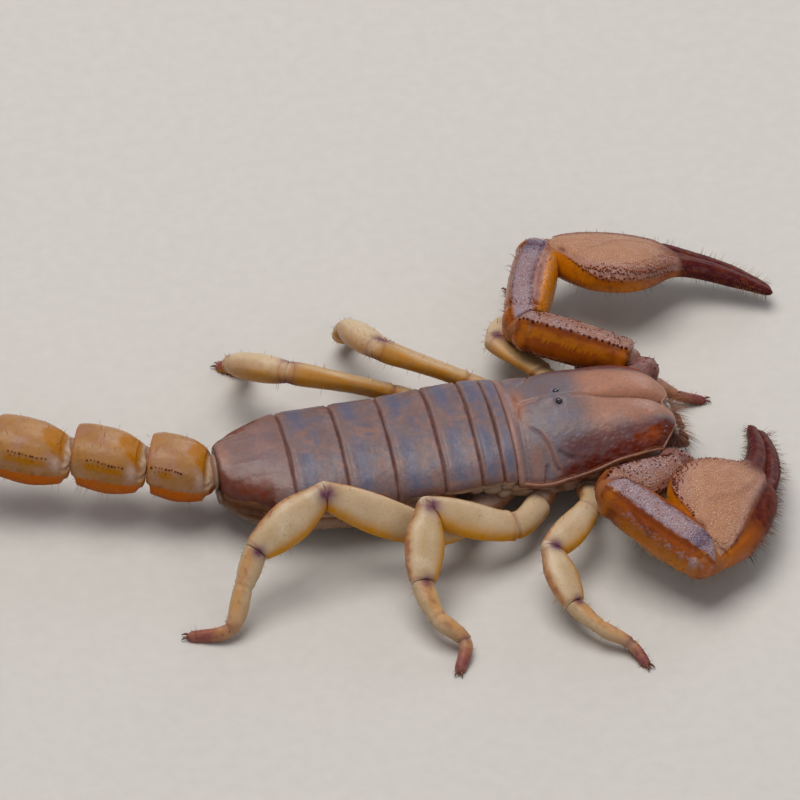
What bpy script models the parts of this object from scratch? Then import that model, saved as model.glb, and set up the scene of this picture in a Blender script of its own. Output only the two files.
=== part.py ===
"""A burrowing desert scorpion at its life size, standing flat on eight feet with its pincers drawn in.

One closed solid for each part of the body. The head looks along +X, +Y is the animal's left and +Z is up.
"""

import math

import bmesh
import bpy
from mathutils import Matrix, Vector

# Lengths below are in millimetres. finished() turns them into metres.
MM = 0.001
WELD = 1e-4  # points nearer than this are one point
GAP = 0.3  # between two neighbouring solids
MIDDLE = Vector((-18.0, -0.3, 0.0))  # middle of the whole animal, which becomes the origin
UP = Vector((0, 0, 1))

# Trunk, along X from the middle of the carapace's rear edge.
CARAPACE_LENGTH = 13.1
NOTCH_DEPTH = 0.65
CARAPACE_HALF_WIDTH = ((0, 5.75), (1.5, 6.0), (5, 5.8), (8, 5.4), (9.6, 5.2), (11, 4.7), (13.1, 3.5))
CARAPACE_RIM = ((0, 4.5), (2.5, 4.15), (4.5, 4.45), (6.5, 4.8), (8, 5.2), (10, 5.4), (13.1, 5.35))
CARAPACE_RIDGE = ((0, 7.2), (4.2, 7.65), (8, 7.3), (11, 6.7), (13.1, 5.85))
CARAPACE_THICKNESS = 0.65
EYE_PLACE = (4.25, 0.55, 7.62)
EYE_RADIUS = 0.27

TERGITE_LINES = (0, -1.15, -2.87, -5.7, -9.35, -13.0, -17.1, -22.4)
TRUNK_HALF_WIDTH = ((-22.4, 2.35), (-20.6, 3.75), (-18.6, 4.75), (-17.1, 5.25), (-13, 5.5), (-5.7, 5.8),
                    (-2.87, 5.8), (0, 5.6))
TRUNK_EDGE = ((-22.4, 4.6), (-18, 4.6), (-9.35, 4.3), (-5.7, 4.6), (-2, 4.85), (0, 4.55))
TRUNK_TOP = ((-22.4, 6.2), (-17.1, 6.65), (-9.35, 6.8), (0, 7.15))
TRUNK_BOTTOM = ((-22.4, 2.6), (-20.4, 1.3), (-17, 0.75), (-12, 0.45), (-7, 0.6), (-5.7, 0.9))
FORE_TRUNK_BOTTOM = 3.4  # over the coxae of the last legs
COXA_PLATE = (-4.9, 11.1)
COXA_PLATE_HALF_WIDTH = ((-4.9, 3.4), (-3, 4.8), (0, 5.2), (3, 5.3), (8, 4.75), (11.1, 4.1))
COXA_PLATE_TOP = ((-4.9, 3.1), (1, 3.1), (4, 3.45), (8, 4.15), (11.1, 4.35))
COXA_PLATE_BOTTOM = ((-4.9, 1.6), (0, 1.4), (6, 1.3), (11.1, 1.9))

# Tail: the joints between its segments, then the vesicle's end and the sting's tip.
TAIL_JOINTS = ((-22.4, 0.3, 4.35), (-27.2, 1.8, 4.7), (-32.7, 3.6, 5.0), (-38.6, 5.5, 5.35),
               (-45.0, 7.8, 6.9), (-52.5, 10.85, 12.1))
STING = ((-52.5, 10.85, 12.1), (-54.4, 11.7, 14.6), (-56.6, 12.7, 16.7), (-59.0, 13.7, 17.7), (-61.2, 14.6, 17.0))
BEAD_WIDTH = ((0, 1.7), (0.12, 1.85), (0.45, 2.55), (0.8, 2.5), (1, 2.15))
BEAD_HEIGHT = ((0, 1.45), (0.12, 1.6), (0.45, 2.2), (0.8, 2.15), (1, 1.8))
BEAD_BOW = ((0.2, -0.4), (0.5, -0.15), (0.85, 0.25))
LAST_WIDTH = ((0, 1.8), (0.3, 2.15), (0.7, 2.15), (1, 1.7))
LAST_HEIGHT = ((0, 1.6), (0.3, 1.95), (0.7, 2.0), (1, 1.6))
STING_WIDTH = ((0, 1.1), (0.15, 1.7), (0.32, 2.0), (0.5, 1.65), (0.66, 0.7), (0.8, 0.42), (1, 0.27))
STING_HEIGHT = ((0, 1.1), (0.15, 1.8), (0.32, 2.2), (0.5, 1.8), (0.66, 0.75), (0.8, 0.42), (1, 0.27))

# Legs: the end of the coxa, base, knee, ends of the patella, tibia and basitarsus, and tip of the foot.
LEGS = {
    "right_1": ((8.6, -4.9, 2.7), (8.2, -7.2, 2.7), (8.3, -11.2, 2.7), (11.4, -13.6, 1.4),
                (13.3, -13.3, 0.95), (14.8, -12.3, 0.7), (16.2, -10.7, 0.1)),
    "right_2": ((5.6, -5.6, 2.5), (4.9, -8.3, 3.2), (0.95, -13.15, 4.0), (1.7, -17.7, 2.4),
                (3.3, -19.7, 1.6), (5.3, -21.2, 0.9), (6.3, -23.2, 0.1)),
    "right_3": ((1.6, -5.9, 2.4), (-1, -8.6, 2.85), (-7.75, -8.85, 6.0), (-9.2, -14.2, 3.4),
                (-8.56, -16.9, 2.2), (-6.83, -18.55, 0.95), (-7.8, -21.1, 0.1)),
    "right_4": ((-3.4, -5.9, 2.3), (-7, -8.4, 3.2), (-15.35, -6.85, 7.1), (-21.1, -9.65, 4.8),
                (-22.4, -11.5, 3.0), (-23.9, -13.7, 0.95), (-27.1, -13.1, 0.1)),
    "left_1": ((8.6, 4.9, 2.5), (8.6, 7.0, 2.2), (9.0, 10.5, 2.9), (12.0, 8.8, 1.9),
               (13.6, 7.0, 1.4), (15.1, 5.8, 0.95), (17.4, 5.6, 0.1)),
    "left_2": ((5.6, 5.6, 2.4), (4.9, 8.3, 2.9), (1.9, 11.85, 3.5), (4.4, 15.2, 2.4),
               (5.4, 17.2, 1.7), (5.6, 19.4, 0.95), (5.0, 21.7, 0.1)),
    "left_3": ((1.6, 5.9, 2.4), (-1, 8.5, 2.9), (-7.8, 9.7, 6.3), (-9.0, 15.3, 3.9),
               (-9.3, 16.9, 1.9), (-8.0, 18.0, 0.9), (-5.4, 17.0, 0.1)),
    "left_4": ((-3.4, 5.9, 2.3), (-7, 8.3, 2.85), (-15.2, 8.2, 6.5), (-18.7, 12.1, 4.6),
               (-18.2, 13.9, 2.9), (-17.4, 15.6, 1.1), (-19.2, 17.2, 0.1)),
}
LEG_STOUTNESS = {"1": 0.82, "2": 0.86, "3": 1.0, "4": 1.05}
COXA_ROOTS = {"1": (8.6, 1.6, 2.3), "2": (6.0, 1.6, 2.3), "3": (3.4, 1.8, 2.3), "4": (0.6, 1.8, 2.3)}
THIGH_DEPTH = ((0, 1.05), (0.3, 1.05), (0.45, 1.25), (0.65, 1.45), (0.8, 1.3), (0.93, 0.95), (1, 0.8))
THIGH_THICKNESS = ((0, 0.9), (0.3, 0.72), (0.5, 0.68), (0.7, 0.76), (0.85, 0.88), (0.93, 0.84), (1, 0.75))
PATELLA_DEPTH = ((0, 0.75), (0.14, 0.9), (0.45, 1.55), (0.7, 1.42), (0.9, 1.0), (1, 0.9))
PATELLA_THICKNESS = ((0, 0.75), (0.14, 0.85), (0.45, 1.05), (0.75, 1.0), (0.9, 0.8), (1, 0.7))
FOOT_DEPTH = ((0, 0.8), (0.2, 0.88), (0.34, 0.7), (0.5, 0.72), (0.66, 0.56), (0.85, 0.5), (1, 0.42))
FOOT_THICKNESS = ((0, 0.7), (0.2, 0.75), (0.34, 0.62), (0.5, 0.62), (0.66, 0.5), (0.85, 0.46), (1, 0.4))

# Pedipalps: where the trochanter starts, shoulder, elbow, wrist, and where the closed fingers meet.
PALPS = {
    "right": ((10.9, -4.4, 3.2), (12.0, -6.75, 4.2), (6.2, -10.5, 6.5), (12.4, -16.6, 3.85), (20.0, 0.3, 1.4)),
    "left": ((10.9, 4.4, 3.4), (11.5, 6.7, 4.5), (3.8, 10.6, 5.7), (7.3, 20.6, 4.4), (25.0, 16.0, 1.4)),
}
ARM_WIDTH = ((0, 1.3), (0.3, 1.55), (0.7, 1.75), (1, 1.65))
ARM_HEIGHT = ((0, 1.4), (0.5, 1.65), (1, 1.6))
ARM_ROLL = math.radians(26)  # the outer side is the lower one
FOREARM_WIDTH = ((0, 1.5), (0.3, 1.75), (0.7, 1.85), (1, 1.45))
FOREARM_HEIGHT = ((0, 1.6), (0.4, 1.8), (0.75, 1.8), (1, 1.45))
CHELA_LENGTH = 18.7
CHELA_ROLL = {"right": math.radians(24), "left": math.radians(20)}
CHELA_ARCH = {"right": 1.5, "left": 0.7}
PALM_LENGTH = 10.1
LOBE_ANGLE = math.radians(60)  # from the pincer's length to the rear edge of the palm's inner lobe
INNER_EDGE = ((0, -1.0), (1.2, -1.9), (2.4, -3.4), (3.8, -4.7), (5.4, -5.1), (7.2, -4.7), (9.0, -3.2),
              (10.3, -1.3), (11.5, -0.35), (13.2, -0.15), (15.5, -0.25), (17.5, -0.5), (18.7, -0.6))
OUTER_EDGE = ((0, 1.0), (1.2, 1.9), (3.2, 3.0), (6.2, 3.4), (8.6, 3.2), (9.7, 2.4), (10.4, 1.35), (13.2, 1.15),
              (15.5, 0.75), (17.5, 0.2), (18.7, -0.1))
FINGER_INNER = ((10.3, 1.6), (13.2, 1.4), (15.5, 1.0), (17.5, 0.45), (18.6, 0.1))
FINGER_OUTER = ((10.3, 2.8), (11.5, 2.8), (13.2, 2.6), (15.5, 2.05), (17.5, 1.25), (18.6, 0.65))
PALM_TOP = ((0, 1.1), (2.5, 1.5), (5.5, 1.65), (8.5, 1.45), (10.8, 0.95), (15, 0.75), (18.7, 0.3))
PALM_BOTTOM = ((0, 1.1), (2.5, 1.6), (6, 1.75), (8.8, 1.45), (11, 0.8), (15, 0.65), (18.7, 0.3))
FINGER_HALF_HEIGHT = ((10.3, 0.95), (12, 0.85), (15.5, 0.7), (18.7, 0.28))

SHELL_BROWN = (0.16, 0.06, 0.04)
AMBER = (0.42, 0.13, 0.03)
HONEY = (0.62, 0.36, 0.12)
PEACH_BROWN = (0.45, 0.18, 0.07)


def material(name, colour, roughness):
    """A glossy cuticle of this colour."""
    made = bpy.data.materials.get(name) or bpy.data.materials.new(name)
    made.use_nodes = True
    surface = made.node_tree.nodes["Principled BSDF"]
    surface.inputs["Base Color"].default_value = (*colour, 1)
    surface.inputs["Roughness"].default_value = roughness
    surface.inputs["Metallic"].default_value = 0.0
    return made


def smooth(keys, t):
    """The value at t of a smooth curve through the (t, value) keys. A value is a number or a vector."""
    t = min(max(t, keys[0][0]), keys[-1][0])
    i = max(k for k in range(len(keys) - 1) if keys[k][0] <= t)
    (t0, first), (t1, last) = keys[i], keys[i + 1]
    before, after = keys[max(i - 1, 0)], keys[min(i + 2, len(keys) - 1)]
    span = t1 - t0
    leaving = (last - before[1]) * (span / (t1 - before[0]))
    arriving = (after[1] - first) * (span / (after[0] - t0))
    s = (t - t0) / span
    return (first * ((1 + 2 * s) * (1 - s) ** 2) + last * (s * s * (3 - 2 * s))
            + leaving * (s * (1 - s) ** 2) - arriving * (s * s * (1 - s)))


def route(points):
    """The points as (fraction of the way, vector) keys."""
    points = [Vector(p) for p in points]
    steps = [(b - a).length for a, b in zip(points, points[1:])]
    return [(sum(steps[:i]) / sum(steps), p) for i, p in enumerate(points)]


def ring(angle, width, height, square=2.0):
    """A point of a rounded section with these half sizes. The corners fill out as square grows."""
    c, s = math.cos(angle), math.sin(angle)
    return (math.copysign(abs(c) ** (2 / square), c) * width,
            math.copysign(abs(s) ** (2 / square), s) * height)


def loft(place, rings, sides):
    """A closed body whose skin is place(s, angle), with s from 0 to 1 and the angle once round."""
    body = bmesh.new()
    bmesh.ops.create_grid(body, x_segments=rings, y_segments=sides, size=1.0)
    for corner in body.verts:
        corner.co = place((corner.co.x + 1) / 2, (corner.co.y + 1) * math.pi)
    bmesh.ops.remove_doubles(body, verts=body.verts, dist=WELD)
    bmesh.ops.holes_fill(body, edges=body.edges, sides=0)
    bmesh.ops.recalc_face_normals(body, faces=body.faces)
    return body


def tube(points, side, width, height, rings=8, sides=10, square=2.2, round_ends=(1.2, 1.2), floor=None):
    """A body along the points with round ends, this wide along side. It has a flat sole where it meets floor."""
    keys = route(points)
    length = sum((Vector(b) - Vector(a)).length for a, b in zip(points, points[1:]))

    def place(s, angle):
        t = (1 - math.cos(math.pi * s)) / 2
        centre = smooth(keys, t)
        ahead = (smooth(keys, t + 0.01) - smooth(keys, t - 0.01)).normalized()
        across = (side - ahead * side.dot(ahead)).normalized()
        swell = 1.0
        for distance, reach in ((t * length, round_ends[0]), ((1 - t) * length, round_ends[1])):
            swell *= math.sqrt(max(0.0, 1 - max(0.0, 1 - distance / reach) ** 2))
        right, over = ring(angle, smooth(width, t) * swell, smooth(height, t) * swell, square)
        point = centre + across * right + across.cross(ahead) * over
        if floor is not None:
            point.z = max(point.z, floor)
        return point

    return loft(place, rings, sides)


def trimmed(body, point, outward):
    """The body without what lies past half a gap before the plane through point, with the cut closed."""
    outward = Vector(outward).normalized()
    bmesh.ops.bisect_plane(body, geom=body.verts[:] + body.edges[:] + body.faces[:], dist=WELD,
                           plane_co=Vector(point) - outward * (GAP / 2), plane_no=outward, clear_outer=True)
    bmesh.ops.holes_fill(body, edges=body.edges, sides=0)
    bmesh.ops.recalc_face_normals(body, faces=body.faces)
    return body


def mitre(before, joint, after):
    """The normal of the plane that halves the bend at joint, pointing on along the limb."""
    joint = Vector(joint)
    return (joint - Vector(before)).normalized() + (Vector(after) - joint).normalized()


def stretched(start, end, by):
    """The end point moved on past itself, away from start."""
    start, end = Vector(start), Vector(end)
    return end + (end - start).normalized() * by


def finished(name, body, finish):
    """The body as an object in metres, with the animal's middle at the origin."""
    for corner in body.verts:
        corner.co = (corner.co - MIDDLE) * MM
    mesh = bpy.data.meshes.new(name)
    body.to_mesh(mesh)
    body.free()
    mesh.materials.append(finish)
    made = bpy.data.objects.new(name, mesh)
    bpy.context.scene.collection.objects.link(made)
    return made


def combined(made, others, operation):
    """Joins the other objects to this one, or cuts them out of it, and hides them as helpers."""
    for other in others:
        change = made.modifiers.new(other.name, "BOOLEAN")
        change.object = other
        change.operation = operation
        change.solver = "EXACT"
        other.hide_render = True


def carapace():
    """The undivided shield over the head end, with a notch in its front edge and a pocket for each eye."""
    body = bmesh.new()
    bmesh.ops.create_grid(body, x_segments=11, y_segments=14, size=1.0)

    def outline(corner):
        along, across = (corner.x + 1) / 2, math.sin(corner.y * math.pi / 2)
        front = CARAPACE_LENGTH - NOTCH_DEPTH * math.exp(-(across / 0.2) ** 2)
        front -= 1.5 * max(0.0, (abs(across) - 0.45) / 0.55) ** 2
        x = GAP / 2 + along * (front - GAP / 2)
        return Vector((x, across * smooth(CARAPACE_HALF_WIDTH, x), 0)), across

    places = [outline(corner.co) for corner in body.verts]
    for corner, (place, across) in zip(body.verts, places):
        rim = smooth(CARAPACE_RIM, place.x)
        dome = (1 - abs(across) ** 2.3) ** 0.75
        place.z = rim + (smooth(CARAPACE_RIDGE, place.x) - rim) * dome
        corner.co = place
    under = bmesh.ops.extrude_face_region(body, geom=body.faces[:])["geom"]
    for corner in (part for part in under if isinstance(part, bmesh.types.BMVert)):
        corner.co.z = smooth(CARAPACE_RIM, corner.co.x) - CARAPACE_THICKNESS
    bmesh.ops.recalc_face_normals(body, faces=body.faces)
    shield = finished("carapace", body, material("shell", SHELL_BROWN, 0.3))
    sockets = [eye("socket_" + side, y, EYE_RADIUS + 0.03) for side, y in (("left", 1), ("right", -1))]
    combined(shield, sockets, "DIFFERENCE")
    for side, y in (("left", 1), ("right", -1)):
        eye("eye_" + side, y, EYE_RADIUS)


def eye(name, side, radius):
    """A bead on the middle of the carapace, beside its ridge."""
    body = bmesh.new()
    bmesh.ops.create_uvsphere(body, u_segments=10, v_segments=6, radius=radius)
    bmesh.ops.translate(body, verts=body.verts, vec=Vector(EYE_PLACE) * Vector((1, side, 1)))
    return finished(name, body, material("eye", (0.01, 0.008, 0.01), 0.08))


def trunk_place(front, rear, bottom):
    """The skin of the trunk between two of its cross lines."""

    def place(s, angle):
        x = front + (rear - front) * s
        edge = smooth(TRUNK_EDGE, x)
        height = smooth(TRUNK_TOP, x) - edge if angle < math.pi else edge - bottom(x)
        y, z = ring(angle, smooth(TRUNK_HALF_WIDTH, x), height, 2.1 if angle < math.pi else 2.7)
        return Vector((x, y, edge + z))

    return place


def mesosoma():
    """The seven rings of the trunk. The first three end above the coxae of the last legs."""
    finish = material("shell", SHELL_BROWN, 0.3)
    for i, (front, rear) in enumerate(zip(TERGITE_LINES, TERGITE_LINES[1:]), 1):

        def bottom(x, shallow=i < 4):
            return FORE_TRUNK_BOTTOM if shallow else smooth(TRUNK_BOTTOM, x)

        body = loft(trunk_place(front - GAP / 2, rear + GAP / 2, bottom), 2 if i < 3 else 4, 20)
        finished(f"mesosoma_{i}", body, finish)


def coxosternum():
    """The underside of the head end: the breastplate with the coxae of the legs and pedipalps round it."""

    def plate(s, angle):
        x = COXA_PLATE[0] + (COXA_PLATE[1] - COXA_PLATE[0]) * s
        top, bottom = smooth(COXA_PLATE_TOP, x), smooth(COXA_PLATE_BOTTOM, x)
        y, z = ring(angle, smooth(COXA_PLATE_HALF_WIDTH, x), (top - bottom) / 2, 3.2)
        return Vector((x, y, (top + bottom) / 2 + z))

    finish = material("limb", AMBER, 0.35)
    whole = finished("coxosternum", loft(plate, 8, 16), finish)
    stubs = []
    for name, joints in LEGS.items():
        side, number = name.split("_")
        root = Vector(COXA_ROOTS[number])
        root.y = math.copysign(root.y, joints[0][1])
        stout = LEG_STOUTNESS[number] * 1.05
        body = tube([root, stretched(root, joints[0], 1.5)], UP, ((0, stout), (1, stout)), ((0, stout), (1, stout)),
                    rings=4, sides=8)
        trimmed(body, joints[0], Vector(joints[1]) - Vector(joints[0]))
        stubs.append(finished("coxa_" + name, body, finish))
    combined(whole, stubs, "UNION")


def leg(name, joints):
    """One walking leg: trochanter with femur, patella, and tibia with its two tarsal joints."""
    finish = material("leg", HONEY, 0.35)
    coxa, base, knee, ankle, heel, pad, tip = (Vector(p) for p in joints)
    stout = LEG_STOUTNESS[name[-1]]
    flat = (base - knee).cross(ankle - knee).normalized()

    def sized(keys):
        return tuple((t, value * stout) for t, value in keys)

    thigh = tube([stretched(base, coxa, 1.0), base, stretched(base, knee, 1.1)], flat,
                 sized(THIGH_THICKNESS), sized(THIGH_DEPTH), rings=8)
    trimmed(thigh, coxa, coxa - base)
    trimmed(thigh, knee, mitre(base, knee, ankle))
    finished(f"leg_{name}_femur", thigh, finish)

    shank = tube([stretched(ankle, knee, 1.1), stretched(knee, ankle, 0.8)], flat,
                 sized(PATELLA_THICKNESS), sized(PATELLA_DEPTH), rings=7)
    trimmed(shank, knee, -mitre(base, knee, ankle))
    trimmed(shank, ankle, mitre(knee, ankle, heel))
    finished(f"leg_{name}_patella", shank, finish)

    foot = tube([stretched(heel, ankle, 0.7), heel, pad, tip], flat, sized(FOOT_THICKNESS), sized(FOOT_DEPTH),
                rings=11, sides=8, round_ends=(0.8, 0.5), floor=0.0)
    trimmed(foot, ankle, -mitre(knee, ankle, heel))
    finished(f"leg_{name}_tarsus", foot, finish)


def palp(side, joints):
    """One pedipalp: trochanter, femur, patella, the palm with its fixed finger, and the movable finger."""
    finish = material("limb", AMBER, 0.3)
    coxa, shoulder, elbow, wrist, tip = (Vector(p) for p in joints)
    arm = (elbow - shoulder).normalized()

    hip = tube([coxa, coxa.lerp(shoulder, 0.5) + Vector((0.9, 0, 0)), shoulder + Vector((0.6, 0, 0))], UP,
               ((0, 1.3), (0.6, 1.45), (1, 1.3)), ((0, 1.2), (0.6, 1.45), (1, 1.3)), rings=8)
    trimmed(hip, Vector((COXA_PLATE[1] + GAP, 0, 0)), (-1, 0, 0))
    trimmed(hip, shoulder, arm)
    finished(f"pedipalp_{side}_trochanter", hip, finish)

    leaning = Matrix.Rotation(ARM_ROLL * (-1 if side == "right" else 1), 3, arm) @ UP.cross(arm)
    upper = tube([stretched(elbow, shoulder, 0.6), stretched(shoulder, elbow, 0.8)], leaning, ARM_WIDTH,
                 ARM_HEIGHT, rings=8, sides=12, square=2.8)
    trimmed(upper, shoulder, -arm)
    trimmed(upper, elbow, mitre(shoulder, elbow, wrist))
    finished(f"pedipalp_{side}_femur", upper, finish)

    hand = chela_frame(side, wrist, tip)
    palm_way = hand @ Vector((0, PALM_LENGTH, CHELA_ARCH[side]))
    fore = tube([stretched(wrist, elbow, 0.9), stretched(elbow, wrist, 0.9)], UP.cross(wrist - elbow), FOREARM_WIDTH,
                FOREARM_HEIGHT, rings=8, sides=12, square=2.6)
    trimmed(fore, elbow, -mitre(shoulder, elbow, wrist))
    trimmed(fore, wrist, mitre(elbow, wrist, palm_way))
    finished(f"pedipalp_{side}_patella", fore, finish)

    arch = CHELA_ARCH[side]
    palm = chela_part(hand, arch, (-0.9, CHELA_LENGTH), INNER_EDGE, OUTER_EDGE, PALM_TOP, PALM_BOTTOM, 16)
    trimmed(palm, wrist, hand.to_3x3() @ Vector((-math.cos(LOBE_ANGLE), -math.sin(LOBE_ANGLE), 0)))
    whole = finished(f"pedipalp_{side}_chela", palm, finish)

    # The palm's inner lobe lies beside the forearm and the upper arm, with the gap kept clear of both.
    beside = tube([stretched(wrist, elbow, 0.9), stretched(elbow, wrist, 0.9)], UP.cross(wrist - elbow),
                  wider(FOREARM_WIDTH), wider(FOREARM_HEIGHT), rings=8, sides=12, square=2.6)
    bend = mitre(elbow, wrist, palm_way).normalized()
    trimmed(beside, wrist + bend * GAP, bend)
    above = tube([stretched(elbow, shoulder, 0.6), stretched(shoulder, elbow, 0.8)], leaning, wider(ARM_WIDTH),
                 wider(ARM_HEIGHT), rings=8, sides=12, square=2.8)
    combined(whole, [finished(f"clear_of_{side}_patella", beside, finish),
                     finished(f"clear_of_{side}_femur", above, finish)], "DIFFERENCE")
    finger = chela_part(hand, arch, (PALM_LENGTH + 0.2, CHELA_LENGTH - 0.1), FINGER_INNER, FINGER_OUTER,
                        FINGER_HALF_HEIGHT, FINGER_HALF_HEIGHT, 8)
    finished(f"pedipalp_{side}_finger", finger, finish)


def wider(keys):
    """Half sizes with a gap's width added."""
    return tuple((t, value + GAP) for t, value in keys)


def chela_frame(side, wrist, tip):
    """The pincer's own frame: X outward, Y from the wrist to the fingertips, Z out of its broad upper face."""
    along = (tip - wrist).normalized()
    outward = along.cross(UP) * (1 if side == "right" else -1)
    outward.normalize()
    over = outward.cross(along) * (1 if side == "right" else -1)
    roll = CHELA_ROLL[side]  # the outer side is the lower one
    lean = outward * math.cos(roll) - over * math.sin(roll)
    over = over * math.cos(roll) + outward * math.sin(roll)
    turned = Matrix((lean, along, over)).transposed()
    return Matrix.Translation(wrist) @ turned.to_4x4()


def chela_part(hand, arch, reach, inner, outer, top, bottom, rings):
    """A piece of the pincer between two edges given as (distance from the wrist, place) keys."""

    def place(s, angle):
        t = (1 - math.cos(math.pi * s)) / 2
        y = reach[0] + (reach[1] - reach[0]) * t
        low, high = smooth(inner, y), smooth(outer, y)
        near_end = min(y - reach[0], reach[1] - y)
        swell = math.sqrt(max(0.0, 1 - max(0.0, 1 - near_end / 0.7) ** 2))
        tall = smooth(top if angle < math.pi else bottom, y)
        x, z = ring(angle, (high - low) / 2 * swell, tall * swell, 2.5)
        lift = arch * math.sin(math.pi * min(max(y, 0.0) / CHELA_LENGTH, 1))
        return hand @ Vector(((low + high) / 2 + x, y, lift + z))

    return loft(place, rings, 12)


def chelicerae():
    """The pair of stout mouth pincers that show under the front edge of the carapace."""
    for side, y in (("left", 1), ("right", -1)):
        body = tube([(11.4, 1.2 * y, 3.35), (14.6, 1.2 * y, 3.1)], Vector((0, 1, 0)),
                    ((0, 1.0), (0.6, 1.02), (1, 0.8)), ((0, 1.1), (0.6, 1.15), (1, 0.8)), rings=8, square=2.6)
        finished("chelicera_" + side, body, material("limb", AMBER, 0.35))


def pectines():
    """The two combs that lie under the trunk behind the last coxae."""
    for side, y in (("left", 1), ("right", -1)):
        body = tube([(-1.2, 0.8 * y, 0.72), (-2.4, 3.4 * y, 0.7), (-3.4, 6.0 * y, 0.66)], UP,
                    ((0, 0.28), (1, 0.26)), ((0, 0.7), (0.4, 0.95), (1, 0.6)), rings=6, sides=8, square=3.0)
        finished("pecten_" + side, body, material("leg", HONEY, 0.4))


def bead_line(start, end, bow):
    """The middle line of a tail segment, which lies low behind its neck and high at its rear."""
    front, rear = stretched(end, start, 0.5), stretched(start, end, 0.5)
    return [front, *(front.lerp(rear, t) + UP * lift for t, lift in bow), rear]


def metasoma():
    """The five bead-like segments of the tail, cut apart on the planes that halve its bends."""
    finish = material("tail", PEACH_BROWN, 0.35)
    joints = [Vector(p) for p in TAIL_JOINTS]
    before = Vector((-15, 0.3, 4.35))
    chain = [before, *joints, Vector(STING[1])]
    for i in range(1, 6):
        start, end = chain[i], chain[i + 1]
        width, height = (BEAD_WIDTH, BEAD_HEIGHT) if i < 4 else (LAST_WIDTH, LAST_HEIGHT)
        slim = 1.0 if i < 4 else 1.12 if i == 4 else 1.0
        body = tube(bead_line(start, end, BEAD_BOW if i < 4 else ()), Vector((0, 1, 0)),
                    tuple((t, value * slim) for t, value in width),
                    tuple((t, value * slim) for t, value in height), rings=8, sides=12, square=2.4)
        trimmed(body, start, -mitre(chain[i - 1], start, end) if i > 1 else (1, 0, 0))
        trimmed(body, end, mitre(start, end, chain[i + 2]))
        finished(f"metasoma_{i}", body, finish)
    sting = tube([stretched(STING[1], STING[0], 0.5), *STING[1:]], Vector((0, 1, 0)), STING_WIDTH, STING_HEIGHT,
                 rings=14, sides=10, square=2.0, round_ends=(1.0, 0.4))
    trimmed(sting, joints[-1], -mitre(joints[-2], joints[-1], STING[1]))
    finished("telson", sting, finish)


def scorpion():
    for old in list(bpy.data.objects):
        bpy.data.objects.remove(old)
    carapace()
    coxosternum()
    mesosoma()
    metasoma()
    chelicerae()
    pectines()
    for name, joints in LEGS.items():
        leg(name, joints)
    for side, joints in PALPS.items():
        palp(side, joints)


scorpion()
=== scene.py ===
import math
import random

import bmesh
import bpy
from mathutils import Matrix, Vector, noise


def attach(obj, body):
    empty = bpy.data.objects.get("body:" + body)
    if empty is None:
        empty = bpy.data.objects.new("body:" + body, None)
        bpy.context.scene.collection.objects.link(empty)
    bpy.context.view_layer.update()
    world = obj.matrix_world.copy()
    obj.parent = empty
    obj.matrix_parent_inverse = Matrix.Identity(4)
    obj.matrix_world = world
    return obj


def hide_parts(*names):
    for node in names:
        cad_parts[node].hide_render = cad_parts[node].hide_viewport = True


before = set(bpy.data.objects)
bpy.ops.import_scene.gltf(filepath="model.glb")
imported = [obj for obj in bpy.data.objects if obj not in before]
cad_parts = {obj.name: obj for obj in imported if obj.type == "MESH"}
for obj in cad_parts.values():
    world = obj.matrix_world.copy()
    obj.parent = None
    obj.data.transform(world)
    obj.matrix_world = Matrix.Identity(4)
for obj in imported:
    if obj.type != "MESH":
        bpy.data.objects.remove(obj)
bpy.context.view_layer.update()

# Carapace. One undivided plate of horny cuticle roofs the head end. It is swollen into two smooth lobes in
# front, wrinkled on its flanks and thickened to a bead all round. Lengths are in millimetres, from the middle
# of the carapace's rear edge, and finished() turns them into metres. GRAIN_HEIGHT, NET_HEIGHT and LIGHT_REACH
# belong to the materials and are in metres.
MM = 0.001
MIDDLE = Vector((-18.0, -0.3, 0.0))
WELD = 1e-4
GRAIN_HEIGHT = 0.00006
NET_HEIGHT = 0.00008
LIGHT_REACH = 0.0007
UP = Vector((0, 0, 1))
MARKS = ("dark", "warm", "pale", "cool", "slate")
CARAPACE_LENGTH = 13.1
NOTCH_DEPTH = 0.65
REAR_GAP = 0.05
FRONT_DROOP = 0.55
SHIELD_THICKNESS = 0.35
CARAPACE_HALF_WIDTH = ((0, 5.75), (1.5, 6.0), (5, 5.8), (8, 5.4), (9.6, 5.2), (11, 4.7), (13.1, 3.5))
CARAPACE_RIM = ((0, 4.5), (2.5, 4.15), (4.5, 4.45), (6.5, 4.8), (8, 5.2), (10, 5.4), (13.1, 5.35))
CARAPACE_RIDGE = ((0, 7.2), (4.2, 7.65), (8, 7.3), (11, 6.7), (13.1, 5.85))
EYE_PLACE = (4.25, 0.55, 7.62)
REAR_FURROW = ((1.53, 2.35), (1.9, 2.78), (2.23, 3.1), (2.51, 3.6), (2.73, 4.05), (2.9, 4.69), (3.02, 5.25),
               (3.27, 5.56))
SHORT_FURROW = ((3.47, 4.6), (3.87, 4.94), (4.38, 5.1))
EDGE_FURROW = ((2.39, 5.29), (2.19, 5.89))
DARK_FLANK = ((2.6, 0.95), (4, 0.84), (6, 0.8), (8, 0.76), (10, 0.66), (12, 0.63))


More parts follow.
